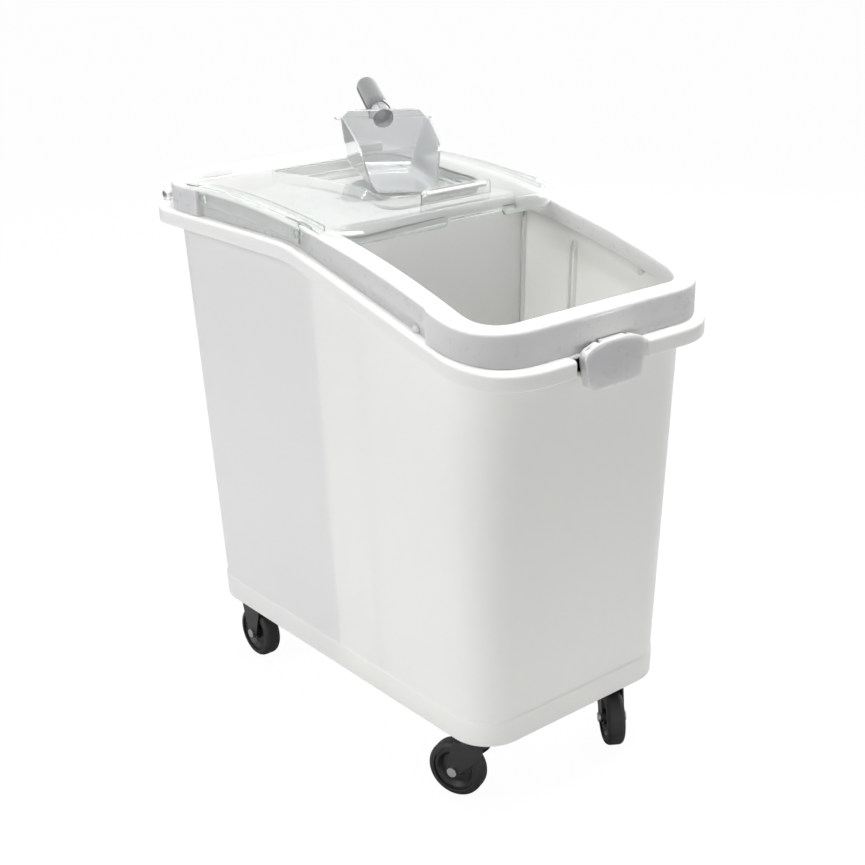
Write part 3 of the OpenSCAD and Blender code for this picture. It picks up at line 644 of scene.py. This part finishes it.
@dataclass
class TopFrame:
    """Slanted rim with side tracks, inner skirt, sunk rear deck and hinge knuckles."""

    track: Track = field(default_factory=Track)
    outer: Plan = Plan(192.6, -348, 340.5, 80, 80)
    opening: Plan = Plan(161.6, -319, 262, 40, 14)
    rim: float = 5.0
    wall: float = 3.2
    skirt: float = 3.0
    drop: float = 27.0
    edge: float = 4.0
    track_y: tuple[float, float] = (-254.6, 221.0)
    rim_inset: float = 3.2
    face_inset: float = 8.0
    halo_z: float = 575.0
    halo_r: float = 78.0
    halo_rise: float = 5.5
    ear_x: float = 22.0
    fittings: Fittings = Fittings()

    def build(self) -> list[bpy.types.Object]:
        """Makes the ring, the deck and the knuckles."""
        y_front, y_rear = self.track_y
        ya, yb = self.outer.y0 + self.outer.rf, self.outer.y1 - self.outer.rb
        marks = np.concatenate([y_front + np.array([-0.4, 0.4]), y_rear - np.array([-3, 0, 3, 6, 9])])
        sides = np.unique(np.concatenate([np.linspace(0, 1, 70), (marks - ya) / (yb - ya)]))
        ends = np.linspace(0, 1, 41)
        rim_z, seat = self.track.rim, self.track.seat

        base_path = self.outer.path(sides, ends)
        in_side = np.abs(base_path[:, 0]) > self.outer.hx - 1
        begun = smooth(base_path[:, 1], y_front - 0.3, y_front + 0.3) * in_side
        recess = begun * (1 - smooth(base_path[:, 1], y_rear - 7, y_rear + 2))
        edge_cut = begun * (1 - smooth(base_path[:, 1], y_rear - 0.5, y_rear + 0.5))

        def halo(pts: Array) -> Array:
            """Swells the front wall round the latch: a dome, held back in the latch's pocket."""
            x = pts[:, 0] - self.fittings.latch_x
            r2 = (x**2 + (pts[:, 2] - self.halo_z) ** 2) / self.halo_r**2
            rise = self.halo_rise * np.clip(1 - r2, 0, 1) ** 1.2
            hit = (pts[:, 1] < self.outer.y0 + 12) & (np.abs(pts[:, 0]) < 100)
            pocket = (np.abs(x) < 52) & (pts[:, 2] < 617)
            pts[:, 1] -= rise * hit * (1 - 0.9 * pocket)
            return pts

        def out_ring(off: float, a: float, dz: float, cut: Array | float = 0.0, bulge: bool = False) -> Array:
            """Outer ring, a of the way from seam to rim: off outwards, dz up, its sides cut in."""
            path = self.outer.grown(off).path(sides, ends)
            path[:, 0] -= np.sign(path[:, 0]) * cut
            y = path[:, 1]
            pts = lifted(path, (1 - a) * (seat(y) + 0.3) + a * rim_z(y) + dz)
            return halo(pts) if bulge else pts

        def in_ring(off: float, dz: float) -> Array:
            """Ring round the mouth, off outwards and dz above the rim."""
            path = self.opening.grown(off).path(sides, ends)
            return lifted(path, rim_z(path[:, 1]) + dz)

        face, lip, e = self.face_inset * recess, self.rim_inset * edge_cut, self.edge
        rings = [out_ring(-self.wall, 0, 0, face * 0.9), out_ring(-1.0, 0, 0, face, True)]
        rings += [out_ring(0, 0, 1.0, face, True)]
        for t in np.linspace(0.12, 0.9, 8):
            rings.append(out_ring(0, t, -self.rim * t, face, True))
        rings += [out_ring(0, 1, -self.rim - 0.4, face, True)]
        rings += [out_ring(0, 1, -self.rim, face), out_ring(0, 1, -self.rim, lip)]
        rings += [out_ring(-e + e * math.cos(t), 1, -e + e * math.sin(t), lip) for t in arc_steps(6)]
        blend = 6
        o_top, i_top = out_ring(-e, 1, 0, lip), in_ring(e, 0)
        for t in np.linspace(0, 1, blend + 1)[1:-1]:
            xy = o_top[:, :2] * (1 - t) + i_top[:, :2] * t
            rings.append(lifted(xy, rim_z(xy[:, 1])))
        rings += [in_ring(e - e * math.sin(t), -e + e * math.cos(t)) for t in arc_steps(6)]
        rings += [in_ring(0, -self.drop / 2), in_ring(0, -self.drop + 1.2)]
        r = self.skirt / 2
        low = r - self.drop
        rings += [in_ring(r - r * math.cos(t), low - r * math.sin(t)) for t in arc_steps(3)[1:]]
        rings += [in_ring(r + r * math.sin(t), low - r * math.cos(t)) for t in arc_steps(3)[1:]]
        under = -self.rim - 0.5
        rings += [in_ring(self.skirt, under), out_ring(-self.wall, 1, under, face * 0.9)]
        verts, faces = loft(rings, closed=True)
        ring = make_object("frame_ring", verts, faces, "top_frame")
        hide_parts("frame")
        return [dress(o, WHITE_FRAME) for o in [ring, *self.fixtures()]]

    def fixtures(self) -> list[bpy.types.Object]:
        """Makes the sunk deck, hinge knuckles, latch ears and the domes that stop the cover."""
        at, few = self.fittings, np.linspace(0, 1, 12)
        x_axis = np.array([1.0, 0, 0])
        parts = []
        deck = slab(Plan(163.5, -8, 264.5, 0.8, 16), 701, 704, 0.8, few, few)
        parts.append(make_object("rear_deck", *deck, "top_frame"))
        nose = slab(Plan(163.5, -8, -5, 0.8, 0.8), 691, 703, 0.7, few, few)
        parts.append(make_object("deck_nose", *nose, "top_frame"))
        for s, tag in ((-1, "l"), (1, "r")):
            start = np.array([s * at.hinge_x - 11, at.hinge_y, at.hinge_z])
            barrel = tube(pin_profile(5.5, 22, 0.8), start, x_axis)
            parts.append(make_object(f"knuckle_{tag}", *barrel, "top_frame"))
            arm = slab(Plan(11, 318, at.hinge_y, 0.6, 0.6), 702, 706.5, 0.6, few[:2], few[:2])
            arm[0][:, 0] += s * at.hinge_x
            parts.append(make_object(f"knuckle_arm_{tag}", *arm, "top_frame"))
            start = np.array([s * self.ear_x + at.latch_x - 2.5, at.latch_y, at.latch_z])
            ear = tube(pin_profile(3.2, 5, 0.5), start, x_axis)
            parts.append(make_object(f"latch_ear_{tag}", *ear, "top_frame"))
            turns = np.linspace(0.05, 3.09, 14)
            dome = tube(np.array([[7 * math.sin(t), -7 * math.cos(t)] for t in turns]),
                        np.array([s * 181.1, -228.6, 633.5]), np.array([0, 0, 1.0]), 28)
            parts.append(make_object(f"track_stop_{tag}", *dome, "top_frame"))
            stem = Plan(2.5, at.latch_y, -347, 0.4, 0.4)
            root = slab(stem, at.latch_z - 3.2, at.latch_z + 3.2, 0.5, few[:2], few[:2])
            root[0][:, 0] += s * self.ear_x + at.latch_x
            parts.append(make_object(f"latch_ear_root_{tag}", *root, "top_frame"))
        return parts


# ---------------------------------------------------------------- cover


def radial(outline: Array, centre: Array, angles: Array) -> Array:
    """Points where rays from a centre meet a closed outline.

    Each ray finds the outline segment that spans its angle and the crossing is worked out
    from the two line equations.

    Args:
        outline: counter-clockwise points of a shape that every ray meets once.
        centre: start of the rays.
        angles: rising ray angles within one turn.

    Returns:
        One point for each ray.
    """
    rel = outline - centre
    turn = np.mod(np.arctan2(rel[:, 1], rel[:, 0]) - angles[0] + 1e-9, 2 * math.pi)
    order = np.argsort(turn)
    rel, turn = rel[order], turn[order]
    a = angles - angles[0]
    k = np.searchsorted(turn, a + 1e-9, side="right")
    p, q = rel[k - 1], rel[k % len(rel)]
    d = np.stack([np.cos(angles), np.sin(angles)], 1)
    e = q - p
    reach = (p[:, 0] * e[:, 1] - p[:, 1] * e[:, 0]) / (d[:, 0] * e[:, 1] - d[:, 1] * e[:, 0])
    return centre + d * reach[:, None]


def rounded_outline(points: Array, radii: Array, steps: int = 10) -> Array:
    """Polygon with its corners turned into arcs.

    Args:
        points: corners, counter-clockwise.
        radii: one radius for each corner.
        steps: steps in each arc.

    Returns:
        The outline, with each straight side cut into short pieces.
    """
    prev, nxt = np.roll(points, 1, 0), np.roll(points, -1, 0)
    u = (prev - points) / np.linalg.norm(prev - points, axis=1, keepdims=True)
    v = (nxt - points) / np.linalg.norm(nxt - points, axis=1, keepdims=True)
    half = np.arccos(np.clip((u * v).sum(1), -1, 1)) / 2
    mid = (u + v) / np.linalg.norm(u + v, axis=1, keepdims=True)
    centre = points + mid * (radii / np.sin(half))[:, None]
    t0, t1 = points + u * (radii / np.tan(half))[:, None], points + v * (radii / np.tan(half))[:, None]
    a0 = np.arctan2(*(t0 - centre).T[::-1])
    a1 = np.arctan2(*(t1 - centre).T[::-1])
    sweep = np.mod(a1 - a0 + math.pi, 2 * math.pi) - math.pi
    f = np.linspace(0, 1, steps + 1)
    ang = a0[:, None] + sweep[:, None] * f
    arcs = centre[:, None] + radii[:, None, None] * np.stack([np.cos(ang), np.sin(ang)], -1)
    w = np.linspace(0, 1, 26)[1:-1]
    lines = t1[:, None] + (np.roll(t0, -1, 0) - t1)[:, None] * w[None, :, None]
    return np.concatenate([arcs, lines], 1).reshape(-1, 2)


def beam(ys: Array, x0: float, x1: float, low: Array, high: Array) -> Surface:
    """Strip of rectangular section carried along y, between two heights given at each y."""
    rings = [
        np.array([[x0, y, a], [x1, y, a], [x1, y, b], [x0, y, b]]) for y, a, b in zip(ys, low, high)
    ]
    return loft(rings, caps=(True, True))


@dataclass
class Cover:
    """Clear cover: arched sheet with rolled edges, side skirts, tray, front lip and pull."""

    track: Track = field(default_factory=Track)
    top: CoverTop = field(default_factory=CoverTop)
    plan: Plan = Plan(192.4, -90, 250, 60, 7)
    sheet: float = 2.6
    side_rise: float = 6.2
    arch: float = 7.8
    edge: float = 3.3
    skirt_y: tuple[float, float] = (-18.0, 214.0)
    skirt: float = 22.0
    lip: float = 700.52
    notch: float = 49.0
    shoulder: float = 10.0
    shift: float = 25.0
    depth: float = 15.0
    tray_round: float = 3.0
    tray_lip: float = 1.6
    guide_x: float = 174.6
    guide_y: tuple[float, float] = (-46.0, 209.0)
    guide_wall: float = 2.6
    nub_r: float = 5.4
    nub_x: float = 191.4
    pull_y: float = -52.0
    pull_half: float = 56.5
    pull_rise: float = 17.0

    def height(self, xy: Array) -> Array:
        """Top surface: the lower of the lengthways crown and an arch carried along the track.

        Args:
            xy: places seen from above.

        Returns:
            The heights there.
        """
        x1 = self.plan.hx - 5.4
        lift = self.side_rise + self.arch * (1 - np.clip(np.abs(xy[:, 0]) / x1, 0, 1) ** 2)
        r = self.track.radius + lift
        band = self.track.rear - self.track.radius + np.sqrt(r * r - (self.track.crest - xy[:, 1]) ** 2)
        return soft_min(band, self.top.z(xy[:, 1]), 1.2)

    def tray(self, t: float) -> Array:
        """Outline of the tray, grown outwards by t."""
        s = self.shift
        pts = np.array([[s + 82 + t, -18 - t], [s + 80 + t, 52], [s + 105 + t, 232 + t],
                        [s - 97 - t, 232 + t], [s - 75 - t, 52], [s - 82 - t, -18 - t]])
        return rounded_outline(pts, np.array([24.0, 120, 14, 14, 120, 24]))

    def build(self) -> list[bpy.types.Object]:
        """Makes the cover, its runners, nubs and pull."""
        parts = [self.sheet_surface(), *self.guides(), *self.pull()]
        # the pull's bar is opaque white: a painted highlight on the clear pull
        return [dress(o, WHITE_HIGHLIGHT_GLOSS if o.name == "pull_highlight_bar" else CLEAR_COVER) for o in parts]

    def sheet_surface(self) -> bpy.types.Object:
        """Makes the cover's closed surface.

        Rays from the tray's middle give every ring the same angles. The rings run from the
        tray's floor up its wall, over the arched top, round the shoulder and down to the lower
        edge, then back underneath, one sheet thickness in.

        Returns:
            The cover, in place of the solid.
        """
        centre = np.array([self.shift, 107.0])
        side = np.linspace(0, 1, 70)
        y0, y1 = self.skirt_y
        ya, yb = self.plan.y0 + self.plan.rf, self.plan.y1 - self.plan.rb
        marks = (np.array([y0 - 0.3, y0 + 0.3, y1 - 0.3, y1 + 0.3]) - ya) / (yb - ya)
        side = np.unique(np.concatenate([side, marks]))
        fx = self.plan.hx - self.plan.rf
        half = self.notch
        notch = 0.5 + (self.shift + np.array([-half, 5 - half, half - 5, half])) / (2 * fx)
        ends = np.unique(np.concatenate([np.linspace(0, 1, 50), notch]))

        def outline(d: float) -> Array:
            """The cover's outline, d inwards."""
            return self.plan.grown(-d).path(side, ends, 16)

        both = np.concatenate([outline(0.0), self.tray(0.0)]) - centre
        ang = np.unique(np.round(np.mod(np.arctan2(both[:, 1], both[:, 0]), 2 * math.pi), 4))
        ang = ang[np.concatenate([[True], np.diff(ang) > 0.002])]

        def outer(d: float) -> Array:
            """The outline, d inwards, where the rays meet it."""
            return radial(outline(d), centre, ang)

        def inner(t: float) -> Array:
            """The tray's outline, t outwards, where the rays meet it."""
            return radial(self.tray(t), centre, ang)

        rim = outer(0.0)
        side_zone = np.abs(rim[:, 0]) > self.plan.hx - 0.4
        front = smooth(-rim[:, 1], 34, 86)
        skirted = side_zone & (rim[:, 1] > y0) & (rim[:, 1] < y1)
        bottom = self.track.arc(rim[:, 1], 0.0) + self.edge
        bottom = np.where(skirted, self.track.arc(rim[:, 1], 0.0) - self.skirt, bottom)
        cut = np.clip((half - np.abs(rim[:, 0] - self.shift)) / 5, 0, 1) * (rim[:, 1] < -80)
        bottom = bottom * (1 - front) + (self.lip + 7 * smooth(cut, 0, 1)) * front
        fall = 1.0 + 1.6 * smooth(rim[:, 1], y0, y0 + 40) * (1 - front) * skirted + 8.0 * front

        def shoulder(d: float, under: float = 0.0) -> Array:
            """Ring of the rolled shoulder: a quarter ellipse that falls towards the edge."""
            xy = outer(d + under)
            t = min(1.0, d / self.shoulder)
            z = self.height(outer(d)) - fall * (1 - math.sqrt(1 - (1 - t) ** 2)) - under
            return lifted(xy, z)

        wide, e, r, lip = self.shoulder, self.sheet, self.tray_round, self.tray_lip
        depths = [wide, 8, 6, 4.3, 2.8, 1.6, 0.8, 0.25]
        floor_z = -self.depth
        rings: list[Array] = []
        for f in (0.01, 0.2, 0.4, 0.6, 0.8, 0.93):
            xy = centre + (inner(-e - r) - centre) * f
            rings.append(lifted(xy, self.top.z(xy[:, 1]) + floor_z))
        for t in arc_steps(4):
            xy = inner(-e - r + r * math.sin(t))
            rings.append(lifted(xy, self.top.z(xy[:, 1]) + floor_z + r * (1 - math.cos(t))))
        for t in arc_steps(4):
            xy = inner(-lip * math.cos(t) - 1.0)
            rings.append(lifted(xy, self.height(xy) - lip * (1 - math.sin(t))))
        a, b = inner(-1.0), outer(wide)
        for f in np.linspace(0, 1, 15)[1:-1]:
            xy = a + (b - a) * f
            rings.append(lifted(xy, self.height(xy)))
        rings += [shoulder(d) for d in depths]
        last = rings[-1][:, 2]
        rings.append(lifted(rim, np.maximum(last - 0.8, bottom + 0.9)))
        rings.append(lifted(rim, np.minimum(bottom + 0.9, last - 0.4)))
        rings.append(lifted(outer(0.7), bottom))
        rings.append(lifted(outer(e - 0.7), bottom))
        inside = self.height(outer(wide)) - e - 0.4
        rings.append(lifted(outer(e), np.minimum(bottom + 0.8, inside - 0.4)))
        for d in reversed(depths[:6]):
            ring = shoulder(d, e)
            ring[:, 2] = np.maximum(ring[:, 2], np.minimum(bottom + 0.4, inside))
            rings.append(ring)
        a, b = inner(0.0), outer(wide + e)
        for f in np.linspace(1, 0, 15):
            xy = a + (b - a) * f
            rings.append(lifted(xy, self.height(xy) - e))
        for t in (0.5, 1.0):
            drop = (1 - t) * (self.height(a) - e) + t * (self.top.z(a[:, 1]) + floor_z - e + 2)
            rings.append(lifted(a, drop))
        for f in (0.985, 0.8, 0.6, 0.4, 0.2, 0.01):
            xy = centre + (inner(0.0) - centre) * f
            rings.append(lifted(xy, self.top.z(xy[:, 1]) + floor_z - e))
        sheet = make_object("cover_sheet", *loft(rings, caps=(True, True)), "cover")
        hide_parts("cover")
        return sheet

    def guides(self) -> list[bpy.types.Object]:
        """Makes a runner along each side, which rides on the track, and the nubs in the skirts."""
        parts = []
        y0, y1 = self.skirt_y
        ys, half = np.linspace(*self.guide_y, 40), self.guide_wall / 2
        for s, tag in ((-1, "l"), (1, "r")):
            x = s * self.guide_x
            high = self.height(np.column_stack([np.full(40, x), ys])) - 1.6
            strip = beam(ys, x - half, x + half, self.track.arc(ys, 0.4), high)
            parts.append(make_object(f"cover_runner_{tag}", *strip, "cover"))
            for y, end in ((y0 + 8, "a"), (y1 - 8, "b")):
                z = float(self.track.arc(np.array([y]), -5.4 - 5.5)[0])
                start = np.array([self.nub_x - 6.4 if s > 0 else -self.nub_x, y, z])
                nub = tube(pin_profile(self.nub_r, 6.4, 0.8), start, np.array([1.0, 0, 0]), 32)
                parts.append(make_object(f"cover_nub_{tag}{end}", *nub, "cover"))
        return parts

    def pull(self) -> list[bpy.types.Object]:
        """Makes the upright pull near the front: a clear plate and its thick grip bar, whose white is a
        painted highlight.
        """
        z = float(self.top.z(np.array([self.pull_y]))[0])
        half, rise = self.pull_half, self.pull_rise
        edge = rounded_outline(np.array([[-half, -3.5], [half, -3.5], [half, rise], [-half, rise]]),
                               np.array([0.5, 0.5, 6, 6]), 6)
        rings = []
        for y, d in ((-1.5, 0.5), (-1.1, 0.1), (-0.5, 0.0), (0.5, 0.0), (1.1, 0.1), (1.5, 0.5)):
            c = edge * [1 - d / 56, 1 - d / 12]
            across, up = c[:, 0] + self.shift, c[:, 1] + z
            rings.append(np.column_stack([across, np.full(len(c), self.pull_y + y), up]))
        plate = make_object("pull_plate", *loft(rings, caps=(True, True)), "cover")
        start = np.array([self.shift - 49, self.pull_y - 0.4, z + 10.5])
        bar = tube(pin_profile(3.4, 98, 3.0), start, np.array([1.0, 0, 0]), 28)
        return [plate, make_object("pull_highlight_bar", *bar, "cover")]


# ---------------------------------------------------------------- smaller pieces


@dataclass(frozen=True)
class Scoop:
    """Pose of the scoop in its tray, and its round handle."""

    place: tuple[float, float, float] = (77.0, 176.5, 726.09)
    turn: tuple[float, float, float] = (2.2, 2.6, -24.5)
    root: tuple[float, float, float] = (0.0, 1.4, 77.15)
    tilt: float = 13.0
    radius: float = 15.4
    tip: float = 14.4
    length: float = 100.3

    def handle(self) -> bpy.types.Object:
        """Makes the handle: a slightly tapered round bar with a domed free end."""
        straight = self.length - self.tip
        r, tip = self.radius, self.tip
        profile = [[0.02, 0.0], [r - 1.6, 0.0], [r - 0.5, 0.5], [r, 1.6]]
        profile += [[r + (tip - r) * f, straight * f] for f in (0.25, 0.5, 0.75)]
        profile += [[max(0.02, tip * math.cos(t)), straight + tip * math.sin(t)] for t in arc_steps(12)]
        lean = math.radians(self.tilt)
        axis = np.array([0.0, math.cos(lean), math.sin(lean)])
        verts, faces = tube(np.array(profile), np.array(self.root), axis, 56)
        pitch, roll, yaw = (math.radians(a) for a in self.turn)
        pose = Matrix.Rotation(yaw, 3, "Z") @ Matrix.Rotation(pitch, 3, "X")
        pose = pose @ Matrix.Rotation(roll, 3, "Y")
        verts = verts @ np.array(pose).T + np.array(self.place)
        grip = make_object("scoop_grip", verts, faces, "scoop")
        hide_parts("scoop_handle")
        return dress(grip, GREY_HANDLE)


def softened(node: str, name: str, width: float, finish: Plastic, body: str) -> bpy.types.Object:
    """Copy of a solid with merged faces and rounded edges, which stands in for it.

    Args:
        node: the solid's name.
        name: the new piece's name.
        width: edge rounding in millimetres.
        finish: its finish.
        body: the body that carries it.

    Returns:
        The new piece.
    """
    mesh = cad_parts[node].data.copy()
    mesh.name = name
    obj = bpy.data.objects.new(name, mesh)
    bpy.context.scene.collection.objects.link(obj)
    bm = bmesh.new()
    bm.from_mesh(mesh)
    bmesh.ops.remove_doubles(bm, verts=bm.verts, dist=2e-6)
    bmesh.ops.dissolve_limit(bm, angle_limit=math.radians(0.6), verts=bm.verts, edges=bm.edges)
    bm.to_mesh(mesh)
    bm.free()
    mod = obj.modifiers.new("edges", "BEVEL")
    mod.width, mod.segments, mod.limit_method = width * MM, 3, "ANGLE"
    mod.angle_limit = math.radians(40)
    mesh.shade_smooth()
    mesh.set_sharp_from_angle(angle=math.radians(46))
    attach(obj, body)
    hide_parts(node)
    return dress(obj, finish)


# ---------------------------------------------------------------- scene


@dataclass(frozen=True)
class Studio:
    """Camera, lamps, floor and backdrop."""

    place: tuple[float, float, float] = (-1.150418, -1.456888, 1.103313)
    right: tuple[float, float, float] = (0.772868, -0.634139, -0.023302)
    up: tuple[float, float, float] = (0.241065, 0.259438, 0.935190)
    focal: float = 1467.18 / 865 * 36
    shift: tuple[float, float] = (-2.885 / 865, -1.745 / 865)
    fill: float = 0.31
    backdrop: float = 1.02
    glow: float = 1.04
    glow_share: float = 0.93
    floor_half: float = 14.0

    def camera(self) -> None:
        """Puts the camera at the fitted place."""
        data = bpy.data.cameras.new("camera")
        data.lens, data.sensor_width = self.focal, 36
        data.shift_x, data.shift_y = self.shift
        data.clip_start, data.clip_end = 0.05, 60
        cam = bpy.data.objects.new("camera", data)
        right, up = Vector(self.right).normalized(), Vector(self.up).normalized()
        back = right.cross(up).normalized()
        m = Matrix((right, up, back)).transposed().to_4x4()
        m.translation = Vector(self.place)
        cam.matrix_world = m
        bpy.context.scene.collection.objects.link(cam)
        bpy.context.scene.camera = cam

    def lamp(self, name: str, place: tuple[float, float, float], size: float, power: float,
             aim: tuple[float, float, float] = (0.0, 0.0, 0.4)) -> None:
        """Adds a square area lamp.

        Args:
            name: its name.
            place: where it hangs.
            size: its side length.
            power: its power.
            aim: the point that it faces.
        """
        data = bpy.data.lights.new(name, "AREA")
        data.size, data.energy = size, power
        obj = bpy.data.objects.new(name, data)
        obj.location = place
        obj.rotation_mode = "QUATERNION"
        obj.rotation_quaternion = (Vector(place) - Vector(aim)).to_track_quat("Z", "Y")
        obj.visible_camera = False
        bpy.context.scene.collection.objects.link(obj)

    @staticmethod
    def ray_is(tree: bpy.types.NodeTree, *kinds: str) -> bpy.types.NodeSocket:
        """Output that is 1 for rays of any of the given kinds and 0 for the rest."""
        path = add_node(tree, "ShaderNodeLightPath")
        value = path.outputs[kinds[0]]
        for kind in kinds[1:]:
            links = {0: value, 1: path.outputs[kind]}
            value = add_node(tree, "ShaderNodeMath", {}, links, operation="MAXIMUM").outputs[0]
        return value

    def surroundings(self) -> None:
        """Pale floor and an even world, both white to the eye and to reflections."""
        world = bpy.data.worlds.new("studio")
        bpy.context.scene.world = world
        world.use_nodes = True
        tree = world.node_tree
        tree.nodes.clear()
        white = linear("FFFFFF")
        seen = self.ray_is(tree, "Is Camera Ray", "Is Transmission Ray", "Is Glossy Ray")
        dim = add_node(tree, "ShaderNodeBackground", {"Color": white, "Strength": self.fill})
        bright = add_node(tree, "ShaderNodeBackground", {"Color": white, "Strength": self.backdrop})
        mix = add_node(tree, "ShaderNodeMixShader", {}, {"Fac": seen})
        tree.links.new(dim.outputs[0], mix.inputs[1])
        tree.links.new(bright.outputs[0], mix.inputs[2])
        out = add_node(tree, "ShaderNodeOutputWorld")
        tree.links.new(mix.outputs[0], out.inputs["Surface"])

        mesh = bpy.data.meshes.new("floor")
        s = self.floor_half
        mesh.from_pydata([(-s, -s, 0), (s, -s, 0), (s, s, 0), (-s, s, 0)], [], [(0, 1, 2, 3)])
        floor = bpy.data.objects.new("floor", mesh)
        floor.location.z = -0.0005
        bpy.context.scene.collection.objects.link(floor)
        mat = bpy.data.materials.new("white_floor")
        mat.use_nodes = True
        tree = mat.node_tree
        tree.nodes.clear()
        seen = self.ray_is(tree, "Is Camera Ray", "Is Transmission Ray")
        glow = add_node(tree, "ShaderNodeEmission", {"Color": white, "Strength": self.glow})
        matte = add_node(tree, "ShaderNodeBsdfDiffuse", {"Color": linear("E6E6E6")})
        share = add_node(tree, "ShaderNodeMath", {1: self.glow_share}, {0: seen}, operation="MULTIPLY")
        mix = add_node(tree, "ShaderNodeMixShader", {}, {"Fac": share.outputs[0]})
        tree.links.new(matte.outputs[0], mix.inputs[1])
        tree.links.new(glow.outputs[0], mix.inputs[2])
        out = add_node(tree, "ShaderNodeOutputMaterial")
        tree.links.new(mix.outputs[0], out.inputs["Surface"])
        mesh.materials.append(mat)

    def build(self) -> None:
        """Sets up everything that isn't the bin."""
        bpy.context.scene.view_settings.view_transform = "Standard"
        self.camera()
        self.lamp("key", (-2.6, 0.6, 1.8), 1.6, 31)
        self.lamp("front", (-1.8, -2.6, 1.3), 1.6, 2)
        self.lamp("side", (2.8, 0.6, 1.8), 1.6, 38)
        self.lamp("above", (0.0, -0.25, 2.4), 0.9, 38, (0.0, -0.1, 0.5))
        self.surroundings()


# finish of each solid that isn't a wheel, fork or axle
CAD_FINISH: dict[str, Plastic] = {
    "tub": WHITE_TUB, "partition": WHITE_SHEET, "frame": WHITE_FRAME, "hinge_pins": ZINC,
    "stop_blocks": CLOUDY, "cover": CLEAR_COVER, "latch": WHITE_FRAME, "latch_pin": ZINC,
    "scoop_bowl": CLEAR_SCOOP, "scoop_handle": GREY_HANDLE,
    "caster_plates": BLACK_STEEL, "caster_bolts": ZINC,
}

# solids that get rounded edges: node, new name, edge width in mm, finish, body
SOFTENED: list[tuple[str, str, float, Plastic, str]] = [
    ("latch", "pull_latch", 1.4, WHITE_FRAME, "latch"),
    ("stop_blocks", "cover_stops", 1.6, CLOUDY, "top_frame"),
    ("scoop_bowl", "scoop_shell", 0.6, CLEAR_SCOOP, "scoop"),
    ("partition", "divider", 1.0, WHITE_SHEET, "base"),
]


def dress_cad_nodes() -> None:
    """Gives every CAD node its finish."""
    kinds = {"fork": BLACK_STEEL, "axle": ZINC, "hub": BLACK_HUB, "tyre": BLACK_TREAD}
    for name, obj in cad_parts.items():
        finish = CAD_FINISH.get(name) or kinds[name.split("_")[0]]
        dress(obj, finish)


def main() -> None:
    """Builds the bin piece by piece, then the studio."""
    logging.basicConfig(level=logging.INFO, format="%(message)s")
    dress_cad_nodes()
    for maker in (Tub(), TopFrame(), Cover()):
        for piece in maker.build():
            LOG.info("%s: %s, %d faces", type(maker).__name__, piece.name, len(piece.data.polygons))
    for node, name, width, finish, body in SOFTENED:
        piece = softened(node, name, width, finish, body)
        LOG.info("softened: %s, %d faces", piece.name, len(piece.data.polygons))
    LOG.info("handle: %d faces", len(Scoop().handle().data.polygons))
    Studio().build()


if __name__ == "__main__":
    main()
